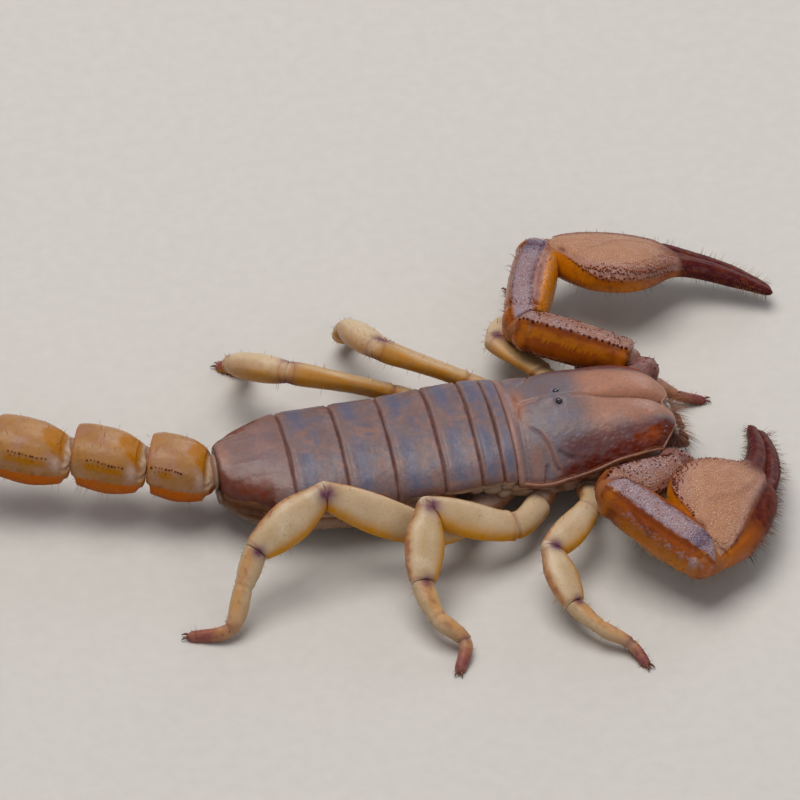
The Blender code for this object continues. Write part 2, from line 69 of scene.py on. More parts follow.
def smooth(keys, t):
    """The value at t of a smooth curve through the (t, value) keys. A value is a number or a vector."""
    t = min(max(t, keys[0][0]), keys[-1][0])
    i = 0
    while i < len(keys) - 2 and keys[i + 1][0] <= t:
        i += 1
    (t0, first), (t1, last) = keys[i], keys[i + 1]
    before, after = keys[max(i - 1, 0)], keys[min(i + 2, len(keys) - 1)]
    span = t1 - t0
    leaving = (last - before[1]) * (span / (t1 - before[0]))
    arriving = (after[1] - first) * (span / (after[0] - t0))
    s = (t - t0) / span
    return (first * ((1 + 2 * s) * (1 - s) ** 2) + last * (s * s * (3 - 2 * s))
            + leaving * (s * (1 - s) ** 2) - arriving * (s * s * (1 - s)))


def step(t, low, high):
    """0 below low, 1 above high, and a soft rise between them."""
    t = min(max((t - low) / (high - low), 0.0), 1.0)
    return t * t * (3 - 2 * t)


def bell(distance, width):
    """1 at no distance, falling softly to nothing at about twice this width."""
    return math.exp(-(distance / width) ** 2)


def grit(point, size):
    """Smooth unevenness from -1 to 1 with bumps about this large."""
    return noise.noise(point / size)


def off_line(x, y, line):
    """How far the point lies from a broken line."""
    nearest = 1e9
    for (x0, y0), (x1, y1) in zip(line, line[1:]):
        dx, dy = x1 - x0, y1 - y0
        t = min(max(((x - x0) * dx + (y - y0) * dy) / (dx * dx + dy * dy), 0), 1)
        nearest = min(nearest, math.hypot(x - x0 - t * dx, y - y0 - t * dy))
    return nearest


def bare():
    """An empty mesh with room for the marks, and for where a corner lies along and round its piece."""
    body = bmesh.new()
    for layer in ("along", "east", "north") + MARKS:
        body.verts.layers.float.new(layer)
    return body


def plain_grid(rings, sides, place):
    """A grid wrapped by place(s, angle), whose corners remember where they lie along and round the piece."""
    body = bare()
    bmesh.ops.create_grid(body, x_segments=rings, y_segments=sides, size=1.0)
    along, east, north = (body.verts.layers.float[name] for name in ("along", "east", "north"))
    for corner in body.verts:
        s, angle = (corner.co.x + 1) / 2, (corner.co.y + 1) * math.pi
        corner[along], corner[east], corner[north] = s, math.cos(angle), math.sin(angle)
        corner.co = place(s, angle)
    return body


def loft(place, rings, sides):
    """A closed body whose skin is place(s, angle), with s from 0 to 1 and the angle once round."""
    body = plain_grid(rings, sides, place)
    bmesh.ops.remove_doubles(body, verts=body.verts, dist=WELD)
    bmesh.ops.holes_fill(body, edges=body.edges, sides=0)
    bmesh.ops.recalc_face_normals(body, faces=body.faces)
    return body


def detailed(body, rule):
    """Moves the skin out by the height that rule gives, in mm, and lays the marks it gives on it."""
    body.normal_update()
    along, east, north = (body.verts.layers.float[name] for name in ("along", "east", "north"))
    layers = {mark: body.verts.layers.float[mark] for mark in MARKS}
    for corner in body.verts:
        turn = math.atan2(corner[north], corner[east]) % math.tau
        height, marks = rule(corner[along], turn, corner.co, corner.normal)
        corner.co = corner.co + corner.normal * height
        for mark, value in marks.items():
            corner[layers[mark]] = min(max(value, 0.0), 1.0)
    return body


def joined(body, *others):
    """The body with the others as further closed shells of the same mesh."""
    for other in others:
        carried = bpy.data.meshes.new("carried")
        other.to_mesh(carried)
        other.free()
        body.from_mesh(carried)
        bpy.data.meshes.remove(carried)
    return body


def finished(name, body, finish, slot, *nodes):
    """The body as an object in metres in the frame's place, standing for these CAD nodes."""
    for corner in body.verts:
        corner.co = (corner.co - MIDDLE) * MM
    for face in body.faces:
        face.smooth = True
    mesh = bpy.data.meshes.new(name)
    body.to_mesh(mesh)
    body.free()
    mesh.materials.append(finish)
    made = bpy.data.objects.new(name, mesh)
    bpy.context.scene.collection.objects.link(made)
    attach(made, "root")
    if nodes:
        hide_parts(*nodes)
    return made


def cuticle(name, tones, marks, roughness=0.34, coat=0.25, depth=0.0, grain=(5000, 0.3), blotch=350,
            shine=0.3, net=None, dull=("dark", "warm")):
    """Horny cuticle: two tones clouded together, the painted marks over them, a fine grain and a gloss.

    blotch and grain[0] are the scales of the clouds and of the grain, and grain[1] is the grain's strength.
    net is (scale, tint, marks) of a mesh of raised granules where those marks lie. Dull marks shine less."""
    made = bpy.data.materials.new(name)
    made.use_nodes = True
    nodes, links = made.node_tree.nodes, made.node_tree.links
    shader = nodes["Principled BSDF"]
    where = nodes.new("ShaderNodeTexCoord").outputs["Object"]

    def cloud(scale, detail=4.0):
        grown = nodes.new("ShaderNodeTexNoise")
        grown.inputs["Scale"].default_value = scale
        grown.inputs["Detail"].default_value = detail
        links.new(where, grown.inputs["Vector"])
        return grown.outputs["Fac"]

    def ranged(value, low, high, to_low=0.0, to_high=1.0):
        held = nodes.new("ShaderNodeMapRange")
        for socket, number in zip(held.inputs[1:5], (low, high, to_low, to_high)):
            socket.default_value = number
        links.new(value, held.inputs["Value"])
        return held.outputs["Result"]

    def worked(operation, first, second):
        result = nodes.new("ShaderNodeMath")
        result.operation = operation
        result.use_clamp = True
        links.new(first, result.inputs[0])
        links.new(second, result.inputs[1])
        return result.outputs[0]

    def over(factor, below, above):
        mix = nodes.new("ShaderNodeMix")
        mix.data_type = "RGBA"
        links.new(factor, mix.inputs[0])
        for socket, value in ((mix.inputs[6], below), (mix.inputs[7], above)):
            if isinstance(value, tuple):
                socket.default_value = (*value, 1)
            else:
                links.new(value, socket)
        return mix.outputs[2]

    def mark_laid(mark):
        laid = nodes.new("ShaderNodeAttribute")
        laid.attribute_name = mark
        return laid.outputs["Fac"]

    def summed(laid_marks):
        total = mark_laid(laid_marks[0])
        for mark in laid_marks[1:]:
            total = worked("ADD", total, mark_laid(mark))
        return total

    def bump(strength, distance, height, normal=None):
        raised = nodes.new("ShaderNodeBump")
        raised.inputs["Strength"].default_value = strength
        raised.inputs["Distance"].default_value = distance
        links.new(height, raised.inputs["Height"])
        if normal:
            links.new(normal, raised.inputs["Normal"])
        return raised.outputs["Normal"]

    colour = over(ranged(cloud(blotch, 6), 0.36, 0.64), tones[0], tones[1])
    for i, (mark, tint) in enumerate(marks.items()):
        laid = mark_laid(mark)
        worn = ranged(cloud(1100 + 170 * i, 5), 0.3, 0.7, 0.72, 1.12)
        colour = over(worked("MULTIPLY", laid, worn), colour, tint)
    shade = tuple(0.62 * value for value in tones[0])
    colour = over(ranged(cloud(5200, 3), 0.5, 0.8, 0.0, 0.4), colour, shade)
    normal = None
    if net:
        cells = nodes.new("ShaderNodeTexVoronoi")
        cells.feature = "DISTANCE_TO_EDGE"
        cells.inputs["Scale"].default_value = net[0]
        links.new(where, cells.inputs["Vector"])
        rough = summed(net[2])
        gaps = ranged(cells.outputs["Distance"], 0.16, 0.03, 0.0, 0.62)
        colour = over(worked("MULTIPLY", gaps, rough), colour, net[1])
        beads = ranged(cells.outputs["Distance"], 0.0, 0.3)
        normal = bump(0.5, NET_HEIGHT, worked("MULTIPLY", beads, rough))
    links.new(colour, shader.inputs["Base Color"])
    links.new(ranged(summed(dull), 0.0, 1.0, shine, 0.15 * shine), shader.inputs["Specular IOR Level"])
    links.new(ranged(cloud(1700, 4), 0.3, 0.7, roughness - 0.07, roughness + 0.1), shader.inputs["Roughness"])
    shader.inputs["Coat Weight"].default_value = coat
    shader.inputs["Coat Roughness"].default_value = 0.18
    if depth:
        shader.inputs["Subsurface Weight"].default_value = depth
        shader.inputs["Subsurface Radius"].default_value = (1.0, 0.42, 0.16)
        shader.inputs["Subsurface Scale"].default_value = LIGHT_REACH
    links.new(bump(grain[1], GRAIN_HEIGHT, cloud(grain[0], 4), normal), shader.inputs["Normal"])
    return made


def shield_front(across):
    """Where the front edge lies, with its middle notch and its rounded corners."""
    return (CARAPACE_LENGTH - NOTCH_DEPTH * bell(across, 0.2)
            - 1.5 * max(0.0, (abs(across) - 0.45) / 0.55) ** 2)


def shield_place(along, turn):
    """A point of the carapace's upper face, from its rear edge to its front and from side to side."""
    across = math.sin((turn / math.pi - 1) * math.pi / 2)
    front = shield_front(across)
    x = REAR_GAP + along * (front - REAR_GAP)
    rim = smooth(CARAPACE_RIM, x)
    dome = (1 - abs(across) ** 2.3) ** 0.75
    z = rim + (smooth(CARAPACE_RIDGE, x) - rim) * dome
    z -= FRONT_DROOP * max(0.0, 1 - (front - x) / 1.5) ** 2.2
    return Vector((x, across * smooth(CARAPACE_HALF_WIDTH, x), z))


def shield_rule(along, turn, point, out):
    """The carapace's lobes, furrows and wrinkles, and where its colours lie."""
    x, y, side = point.x, point.y, abs(point.y)
    across = side / smooth(CARAPACE_HALF_WIDTH, x)
    flank = step(across, 0.5, 0.7) * step(x, 2.9, 4.5) * (1 - step(x, 11.6, 12.6))
    lobe = bell(x - 9.8, 2.5) * bell(side - 2.0, 1.5)
    # Two lobes in front, with a furrow between them that runs on as a fine line to the eyes.
    height = 0.32 * lobe
    height -= (0.3 * bell(y + 0.12, 0.11) + 0.34 * bell(y + 0.12, 0.4)) * step(x, 6.2, 9.0)
    height -= 0.14 * bell(y + 0.08, 0.13) * step(x, 4.9, 5.3) * (1 - step(x, 7.2, 8.6))
    # The mound of the median eyes, parted by a groove, with a socket for each lens.
    height += 0.26 * bell(math.hypot((x - 4.3) / 1.7, y / 0.85), 1.0)
    height -= 0.12 * bell(y, 0.16) * bell(x - 4.3, 0.7)
    height -= 0.22 * bell(math.hypot(x - EYE_PLACE[0], side - EYE_PLACE[1] - 0.1), 0.3)
    # Furrows of the rear part, its swollen rear edge, and the wrinkles of the flank.
    height -= 0.2 * bell(y, 0.16) * step(x, 0.9, 1.4) * (1 - step(x, 2.4, 3.2))
    height -= 0.14 * bell(x - 1.15 + 0.3 * side, 0.14) * bell(side - 0.7, 0.6)
    rear = off_line(x, side, REAR_FURROW)
    height -= 0.2 * bell(rear, 0.075) * step(x, 1.4, 1.9) + 0.1 * bell(rear, 0.6)
    height -= 0.2 * bell(off_line(x, side, SHORT_FURROW), 0.16)
    height -= 0.2 * bell(off_line(x, side, EDGE_FURROW), 0.12)
    height += 0.12 * bell(x - 0.3, 0.3) - 0.09 * bell(x - 0.85, 0.2)
    creased = Vector((x * 0.75, y * 1.3, point.z * 1.3))
    height += 0.045 * flank * grit(creased, 0.42) + 0.045 * (0.2 + flank) * grit(creased, 0.2)
    height += 0.015 * grit(point, 0.35)
    # Peach lobes over a dark red flank, amber in front, and golden along the furrows. The lilac-grey over the
    # plate is a painted sky reflection, the flank's dark is partly its own dark red and partly a painted
    # reflection of a dark ground, the near side's front is darkened as painted shade, and the golden furrow
    # edges are partly painted highlight.
    blur = 0.3 * grit(point, 1.6)
    soft = grit(point, 0.7)
    # The near side's front is darkened and its lobe made less peach, as painted shade.
    near_front_shade = 0.12 * step(x, 10.3, 12.6) * (y < 0)
    below = step(across + near_front_shade - smooth(DARK_FLANK, x) + 0.05 * soft, 0.0, 0.13)
    peach = step(x + blur, 5.0, 7.4) * (1 - step(across + near_front_shade + 0.2 * blur, 0.45, 0.72))
    patch = bell((x + 0.6 * blur - 10.9) / 1.25, 1.0) * bell((across + 0.1 * blur - 0.8) / 0.1, 1.0)
    golden = (bell(x - 1.1, 0.55) * bell(side - 0.4, 1.6)
              + 0.8 * bell(abs(y) - 0.2, 0.12) * bell(x - 2.0, 1.0)
              + 0.9 * bell(rear - 0.2, 0.08) * step(x, 2.0, 2.6)
              + 0.8 * bell(abs(y + 0.1) - 0.24, 0.1) * step(x, 4.9, 5.4) * (1 - step(x, 11, 13))
              + 0.5 * bell(x - 1.6, 0.5) * step(side, 3.4, 4.6))
    line = bell(rear, 0.045) * step(x, 1.45, 1.8) + bell(off_line(x, side, SHORT_FURROW), 0.05)
    marks = {"cool": (1 - 0.5 * peach) * (0.9 + blur) * (1 - 0.5 * golden),
             "slate": 0.3 * step(soft, 0.0, 0.5) * (1 - peach) * (1 - below) * step(x, 2.4, 3.2),
             "dark": max(0.96 * below,
                         0.66 * flank * step(across - smooth(DARK_FLANK, x), -0.34, -0.05),
                         0.38 * line * (1 - 0.5 * step(side, 4.4, 5.0)),
                         0.4 * bell(y + 0.14, 0.07) * step(x, 8, 9.5),
                         0.9 * bell(math.hypot((x - 11.9) / 0.3, (side - 3.42) / 0.6), 0.9)),
             "pale": max(peach * (0.97 if y > 0 else 0.76), 0.55 * bell(x - 0.25, 0.25),
                         0.6 * step(across, 0.975, 0.995), 0.62 * golden * (1 - below)),
             "warm": 0.8 * patch * (0.75 + 0.5 * soft) + 0.08 * golden * (1 - below)}
    return height, marks


# The shell's cool lilac-grey is a painted sky reflection, and its dark on the carapace's flank is partly a
# painted reflection of a dark ground.
SHELL = cuticle("shell_cuticle", ((0.15, 0.068, 0.045), (0.20, 0.098, 0.065)),
                {"cool": (0.142, 0.116, 0.136), "slate": (0.075, 0.092, 0.16), "dark": (0.095, 0.008, 0.001),
                 "pale": (0.36, 0.158, 0.095), "warm": (0.32, 0.06, 0.002)}, roughness=0.4, coat=0.06,
                grain=(4200, 0.55), shine=0.28)

shield = plain_grid(130, 150, shield_place)
bmesh.ops.recalc_face_normals(shield, faces=shield.faces)
shield.normal_update()
if sum(face.normal.z for face in shield.faces) < 0:
    bmesh.ops.reverse_faces(shield, faces=shield.faces)
detailed(shield, shield_rule)
under = bmesh.ops.extrude_face_region(shield, geom=shield.faces[:])["geom"]
for corner in (part for part in under if isinstance(part, bmesh.types.BMVert)):
    corner.co.z = smooth(CARAPACE_RIM, corner.co.x) - SHIELD_THICKNESS
bmesh.ops.recalc_face_normals(shield, faces=shield.faces)


def route(points):
    """The points as (fraction of the way, vector) keys."""
    points = [Vector(p) for p in points]
    steps = [(b - a).length for a, b in zip(points, points[1:])]
    return [(sum(steps[:i]) / sum(steps), p) for i, p in enumerate(points)]


def ring(angle, width, height, square=2.0):
    """A point of a rounded section with these half sizes. The corners fill out as square grows."""
    c, s = math.cos(angle), math.sin(angle)
    return (math.copysign(abs(c) ** (2 / square), c) * width,
            math.copysign(abs(s) ** (2 / square), s) * height)


def tube(points, side, width, height, square=2.2, round_ends=(1.2, 1.2), floor=None):
    """The skin of a body along the points with round ends, this wide along side."""
    keys = route(points)
    length = sum((Vector(b) - Vector(a)).length for a, b in zip(points, points[1:]))

    def place(s, angle):
        t = (1 - math.cos(math.pi * s)) / 2
        centre = smooth(keys, t)
        ahead = (smooth(keys, t + 0.01) - smooth(keys, t - 0.01)).normalized()
        across = (side - ahead * side.dot(ahead)).normalized()
        swell = 1.0
        for distance, reach in ((t * length, round_ends[0]), ((1 - t) * length, round_ends[1])):
            swell *= math.sqrt(max(0.0, 1 - max(0.0, 1 - distance / reach) ** 2))
        right, over = ring(angle, smooth(width, t) * swell, smooth(height, t) * swell, square)
        point = centre + across * right + across.cross(ahead) * over
        if floor is not None:
            point.z = max(point.z, floor)
        return point

    return place


def even(radius):
    """The keys of one size all along."""
    return ((0, radius), (1, radius))


def edge_point(turn):
    """A point on the carapace's side and front edge, from the left rear corner to the right one."""
    thirds = turn * 3
    if thirds < 1:
        along, across = thirds, 1.0
    elif thirds < 2:
        along, across = 1.0, math.cos((thirds - 1) * math.pi)
    else:
        along, across = 3 - thirds, -1.0
    x = REAR_GAP + along * (shield_front(across) - REAR_GAP)
    y = across * smooth(CARAPACE_HALF_WIDTH, x)
    rim = smooth(CARAPACE_RIM, x)
    z = rim + (smooth(CARAPACE_RIDGE, x) - rim) * (1 - abs(across) ** 2.3) ** 0.75 - 0.62 * along ** 12
    return Vector((x, y, z))


def edge_rule(along, turn, point, out):
    # The bead is pale, and its downward face is darkened as painted shade.
    return 0.03 * grit(point, 0.5), {"pale": 0.5 + 0.3 * grit(point, 1.2), "dark": 0.35 * step(-out.z, 0, 1)}


EDGE_STEPS = 96
edge_line = [edge_point(i / EDGE_STEPS) for i in range(EDGE_STEPS + 1)]
edge_place = tube(edge_line, Vector((0.3, 0.1, 1)), even(0.13), even(0.11), square=2, round_ends=(0.3, 0.3))
thick_edge = detailed(loft(edge_place, 380, 8), edge_rule)
finished("carapace", joined(shield, thick_edge), SHELL, "shell", "carapace")

# Median eyes. A pair of black glass-clear lenses sits on a low mound in the middle of the carapace, each in a
# shallow socket of the plate.
SIDES = (("left", 1), ("right", -1))
EYE_RADIUS = 0.285
EYE_GLASS = cuticle("eye_lens", ((0.012, 0.012, 0.018), (0.02, 0.02, 0.028)), {}, roughness=0.12, coat=0.8,
                    grain=(900, 0.05))


def ball(centre, radius, stretch=(1, 1, 1), parts=(28, 18)):
    """A closed round body with this stretch along X, Y and Z."""
    body = bare()
    bmesh.ops.create_uvsphere(body, u_segments=parts[0], v_segments=parts[1], radius=radius)
    bmesh.ops.scale(body, verts=body.verts, vec=Vector(stretch))
    bmesh.ops.translate(body, verts=body.verts, vec=Vector(centre))
    return body


for side, way in SIDES:
    lens = ball(Vector(EYE_PLACE) * Vector((1, way, 1)), EYE_RADIUS)
    finished("eye_" + side, lens, EYE_GLASS, "eye", "eye_" + side)

# Side eyes. Three smaller black lenses stand in a row at each front corner of the carapace, on its edge.
LATERAL_EYES = ((12.15, 3.0, 5.72, 0.15), (11.93, 3.42, 5.6, 0.17), (11.62, 3.82, 5.5, 0.14))

for side, way in SIDES:
    lenses = [ball((x, y * way, z), radius, parts=(16, 10)) for x, y, z, radius in LATERAL_EYES]
    finished("lateral_eyes_" + side, joined(lenses[0], *lenses[1:]), EYE_GLASS, "eye")

# Trunk skin. A soft folded membrane closes the trunk between the back plates and the belly plates and lets it
# swell. It is one skin from the carapace to the tail.
TERGITE_LINES = (0, -1.15, -2.87, -5.7, -9.35, -13.0, -17.1, -22.4)
TRUNK_HALF_WIDTH = ((-22.4, 2.35), (-20.6, 3.75), (-18.6, 4.75), (-17.1, 5.25), (-13, 5.5), (-5.7, 5.8),
                    (-2.87, 5.8), (0, 5.6))
TRUNK_EDGE = ((-22.4, 4.6), (-18, 4.6), (-9.35, 4.3), (-5.7, 4.6), (-2, 4.85), (0, 4.55))
TRUNK_TOP = ((-22.4, 6.2), (-17.1, 6.65), (-9.35, 6.8), (0, 7.15))
TRUNK_BOTTOM = ((-22.4, 2.6), (-20.4, 1.3), (-17, 0.75), (-12, 0.45), (-7, 0.6), (-5.7, 0.9))
FORE_TRUNK_BOTTOM = 3.3
SKIN_FRONT, SKIN_LENGTH, SKIN_DEPTH = 0.3, 22.5, 0.15
# Where a fold is modelled, its dark and pale marks are painted shade in the valleys and painted highlight on
# the crests.
MEMBRANE = cuticle("joint_membrane", ((0.20, 0.12, 0.075), (0.26, 0.165, 0.11)),
                   {"dark": (0.06, 0.02, 0.010), "pale": (0.42, 0.31, 0.22), "cool": (0.18, 0.055, 0.09),
                    "warm": (0.34, 0.10, 0.008)}, roughness=0.42, coat=0.1, depth=0.08, grain=(3500, 0.5))


def segment_share(x):
    """How far along its own segment of the trunk this x lies, from 0 at the front to 1 at the rear."""
    for front, rear in zip(TERGITE_LINES, TERGITE_LINES[1:]):
        if x >= rear:
            return (front - x) / (front - rear)
    return 1.0


def skin_place(s, angle):
    """A point of the trunk's skin, which lies just inside the back plates and the belly plates."""
    x = SKIN_FRONT - SKIN_LENGTH * s
    edge = smooth(TRUNK_EDGE, x) - SKIN_DEPTH
    bottom = FORE_TRUNK_BOTTOM + (smooth(TRUNK_BOTTOM, min(x, -5.7)) - FORE_TRUNK_BOTTOM) * step(-x, 4.4, 6.2)
    top = smooth(TRUNK_TOP, x) - edge - 0.5
    y, z = ring(angle, smooth(TRUNK_HALF_WIDTH, x) * 0.965, top if angle < math.pi else edge - bottom - 0.12,
                2.1 if angle < math.pi else 2.5)
    return Vector((x, y, edge + z))


def skin_rule(along, turn, point, out):
    """The skin bulges between the plates and is pleated on the flank."""
    share = segment_share(point.x)
    side = step(0.75 - abs(out.z), 0.0, 0.35)
    pleats = math.sin(point.z * 7.5 + 2.2 * grit(point, 2.2) + 0.8 * share)
    swell = 0.2 * abs(math.sin(math.pi * share)) ** 0.7 - 0.06
    height = side * (swell + 0.1 * pleats + 0.07 * grit(point, 0.6))
    rear = step(-point.x, 16, 18)
    # The pleats' valleys are darkened as painted shade and their crests lightened as painted highlight.
    marks = {"dark": 0.75 * side * step(-pleats, 0.2, 0.9) + 0.9 * rear * step(point.z, 1.6, 2.8),
             "pale": 0.6 * side * step(pleats, 0.1, 0.9) * (1 - 0.9 * rear),
             "warm": 0.2 + 0.2 * grit(point, 1.0)}
    return height, marks


finished("trunk_skin", detailed(loft(skin_place, 240, 110), skin_rule), MEMBRANE, "shell")

# Back plates. Seven tergites roof the trunk. Each is a separate plate of the carapace's cuticle with a rolled
# rear edge that laps over the next one. The last is the longest and narrows to the tail.
TERGITE_LAP = 0.22


def tergite_place(front, rear, number):
    """The skin of back plate number, whose front edge is tucked under the plate before it."""
    reach = front - rear

    def place(s, angle):
        wave = 0.1 * noise.noise(Vector((math.cos(angle) * 2.2, number * 3.1, 0.5)))
        x = front + 0.3 - (reach + (0.12 if number < 7 else 0.2) + wave * s) * s
        edge = smooth(TRUNK_EDGE, x)
        tucked = TERGITE_LAP * (1 - step(s * (reach + 0.4), 0.12, 0.38))
        lift = -tucked + 0.07 * (1 - step((1 - s) * reach, 0.2, 1.3))
        lift -= 0.2 * max(0.0, 1 - (1 - s) * reach / 0.16) ** 2
        wide = smooth(TRUNK_HALF_WIDTH, x) - tucked - 0.15 * (1 - step(1 - s, 0, 0.1))
        tall = smooth(TRUNK_TOP, x) - edge + lift if angle < math.pi else 0.5
        if number == 7 and angle >= math.pi:
            tall = 0.5 + 0.9 * step(s, 0.1, 0.5) * (1 - step(s, 0.85, 1.0))
        y, z = ring(angle, wide, tall, 2.1 if angle < math.pi else 2.6)
        return Vector((x, y, edge + z))

    return place


def tergite_rule(front, rear, number):
    """Height and colours of a back plate: dusky lilac, which is a painted sky reflection, with slate patches,
    and a darker tail end.
    """

    def rule(along, turn, point, out):
        to_rear, side = point.x - rear, abs(point.y)
        wide, span = smooth(TRUNK_HALF_WIDTH, point.x), front - rear
        blur, fine = grit(point, 1.5), grit(point, 0.5)
        height = 0.014 * grit(point, 0.25) + 0.03 * blur + 0.02 * grit(point, 0.8)
        height -= 0.03 * bell(to_rear - 0.55, 0.12) * (number < 7) * (number > 1)
        roll = 1 - step(to_rear + 0.15 * blur, 0.2, 0.9 if number > 2 else 0.6)
        edge = step(side / wide, 0.94, 0.995)
        covered = step(to_rear, span - 0.1, span)
        rim = 1 - step(to_rear, 0.02, 0.2)
        # The pale line at the rear edge is partly a painted highlight, and the downward faces, the strip
        # tucked under the plate before and the end of the rear lip are darkened as painted shade.
        marks = {"cool": 0.72 + 0.3 * blur,
                 "pale": 0.14 * roll + 0.3 * rim + 0.3 * edge + 0.2 * step(fine, 0.0, 0.5),
                 "dark": max(0.75 * step(-out.z, 0.1, 0.6), 0.5 * covered, 0.35 * bell(to_rear + 0.1, 0.06))}
        if number < 7:
            # Slate lies in a band on each side of the middle and in a small patch near it.
            middle = min(1.4, 0.52 * span) + 0.1 * blur
            slate = bell(to_rear - middle, 0.34 * min(span, 1.7)) * step(side + 0.6 * blur, 0.7, 1.7)
            slate = max(slate, 0.9 * bell(to_rear - 0.62 * span, 0.3) * bell(side - 0.5, 0.4))
            slate = max(slate, 0.28 * step(blur - 0.3 * fine, 0.05, 0.4) * step(to_rear, 1.2, 2.0))
            marks["slate"] = slate * (0.8 + 0.35 * fine) * (1 - roll)
            if number > 2:
                tan = step(fine + 0.5 * blur, 0.0, 0.5) * bell(side, 1.8) * step(to_rear, 0.9, 1.6)
                ahead = 0.3 * step(to_rear / span, 0.55, 0.9) * step(fine + 0.3 * grit(point, 0.2), -0.2, 0.4)
                marks["pale"] = max(marks["pale"], 0.38 * tan, ahead)
                marks["slate"] *= 1 - 0.7 * tan
                marks["cool"] *= 1 - 0.2 * tan
        else:
            # The last plate has two low keels and a furrow outside them, and is brown towards the tail.
            height -= 0.1 * bell(side - 2.9 - 0.1 * (point.x + 19), 0.3) * bell(point.x + 19.5, 1.8)
            height += 0.1 * bell(side - 1.4, 0.35) * bell(point.x + 20, 1.5)
            low = step(6.3 - point.z + 0.3 * blur + 0.15 * fine, 0.2, 0.55)
            low *= step(-point.x + 0.5 * blur, 18.0, 18.8)
            # The hem below the trunk's edge is darkened as painted shade.
            marks["dark"] = max(marks["dark"], 0.78 * low * (0.9 + 0.3 * fine),
                                0.85 * step(4.75 - point.z, 0, 0.4))
            marks["warm"] = 0.1 * low * step(fine + 0.4 * blur, -0.1, 0.4)
            marks["cool"] *= 0.8 - 0.6 * low
            marks["slate"] = 0.35 * bell(point.x + 18.8, 1.2) * bell(side - 1.0, 1.2)
            marks["pale"] = (0.16 + 0.2 * rim + 0.2 * bell(point.x + 21.9, 0.5)
                             + 0.25 * step(blur + 0.5 * fine, 0, 0.6)) * (1 - 0.9 * low)
        return height, marks

    return rule


for number, (front, rear) in enumerate(zip(TERGITE_LINES, TERGITE_LINES[1:]), 1):
    rings = int(24 + 11 * (front - rear))
    plate = detailed(loft(tergite_place(front, rear, number), rings, 170), tergite_rule(front, rear, number))
    finished(f"tergite_{number}", plate, SHELL, "shell", f"mesosoma_{number}")

# Belly plates. Five sternites floor the trunk behind the combs, smoother and paler than the back, and the
# first four have a slit-shaped breathing hole on each side.
STERNITE_LAP, STERNITE_OVERLAP = 0.2, 0.35
STERNITE_LINES = (-4.7, -7.0, -9.9, -13.2, -17.1, -22.3)
BELLY = cuticle("belly_cuticle", ((0.24, 0.13, 0.075), (0.30, 0.18, 0.11)),
                {"dark": (0.05, 0.02, 0.015), "pale": (0.42, 0.30, 0.19), "warm": (0.36, 0.14, 0.03)},
                roughness=0.3, coat=0.35, depth=0.05)


def sternite_place(front, rear):
    """The skin of the belly plate between these two places on the body's length."""

    def place(s, angle):
        x = front + STERNITE_LAP - (front - rear + STERNITE_OVERLAP) * s
        edge = smooth(TRUNK_EDGE, x)
        bottom = smooth(TRUNK_BOTTOM, min(x, -5.7)) + 0.25 * step(x, -5.7, -4.7)
        line = bottom + 0.42 * (edge - bottom)
        lap = 0.12 * (1 - step(s, 0.0, 0.2)) - 0.04 * bell((1 - s) * (front - rear) - 0.2, 0.3)
        deep = line - bottom - lap if angle >= math.pi else 0.3
        y, z = ring(angle, smooth(TRUNK_HALF_WIDTH, x) * 0.93 - 0.25, deep, 2.9 if angle >= math.pi else 2.2)
        return Vector((x, y, line + z))

    return place


def sternite_rule(front, rear, breathing):
    """Height and colours of a belly plate, with a slit on each side where it is breathing."""
    middle = (front + rear) / 2

    def rule(along, turn, point, out):
        side = abs(point.y)
        slit = bell(point.x - middle + 0.25 * (side - 3.1), 0.13) * bell(side - 3.1, 0.65) * breathing
        furrow = bell(side - 1.5, 0.2) * bell(point.x - middle, 1.2)
        down = step(-out.z, 0.3, 0.8)
        return ((-0.2 * slit - 0.05 * furrow) * down + 0.02 * grit(point, 0.6),
                {"dark": max(slit * down, 0.6 * step(-point.x, 18, 20.5) * (1 - down)),
                 "pale": 0.8 * bell(point.x - rear - 0.2, 0.35) * down, "warm": 0.3 * furrow})

    return rule


for number, (front, rear) in enumerate(zip(STERNITE_LINES, STERNITE_LINES[1:]), 3):
    plate = loft(sternite_place(front, rear), int(14 + 7 * (front - rear)), 90)
    finished(f"sternite_{number}", detailed(plate, sternite_rule(front, rear, number < 7)), BELLY, "shell")

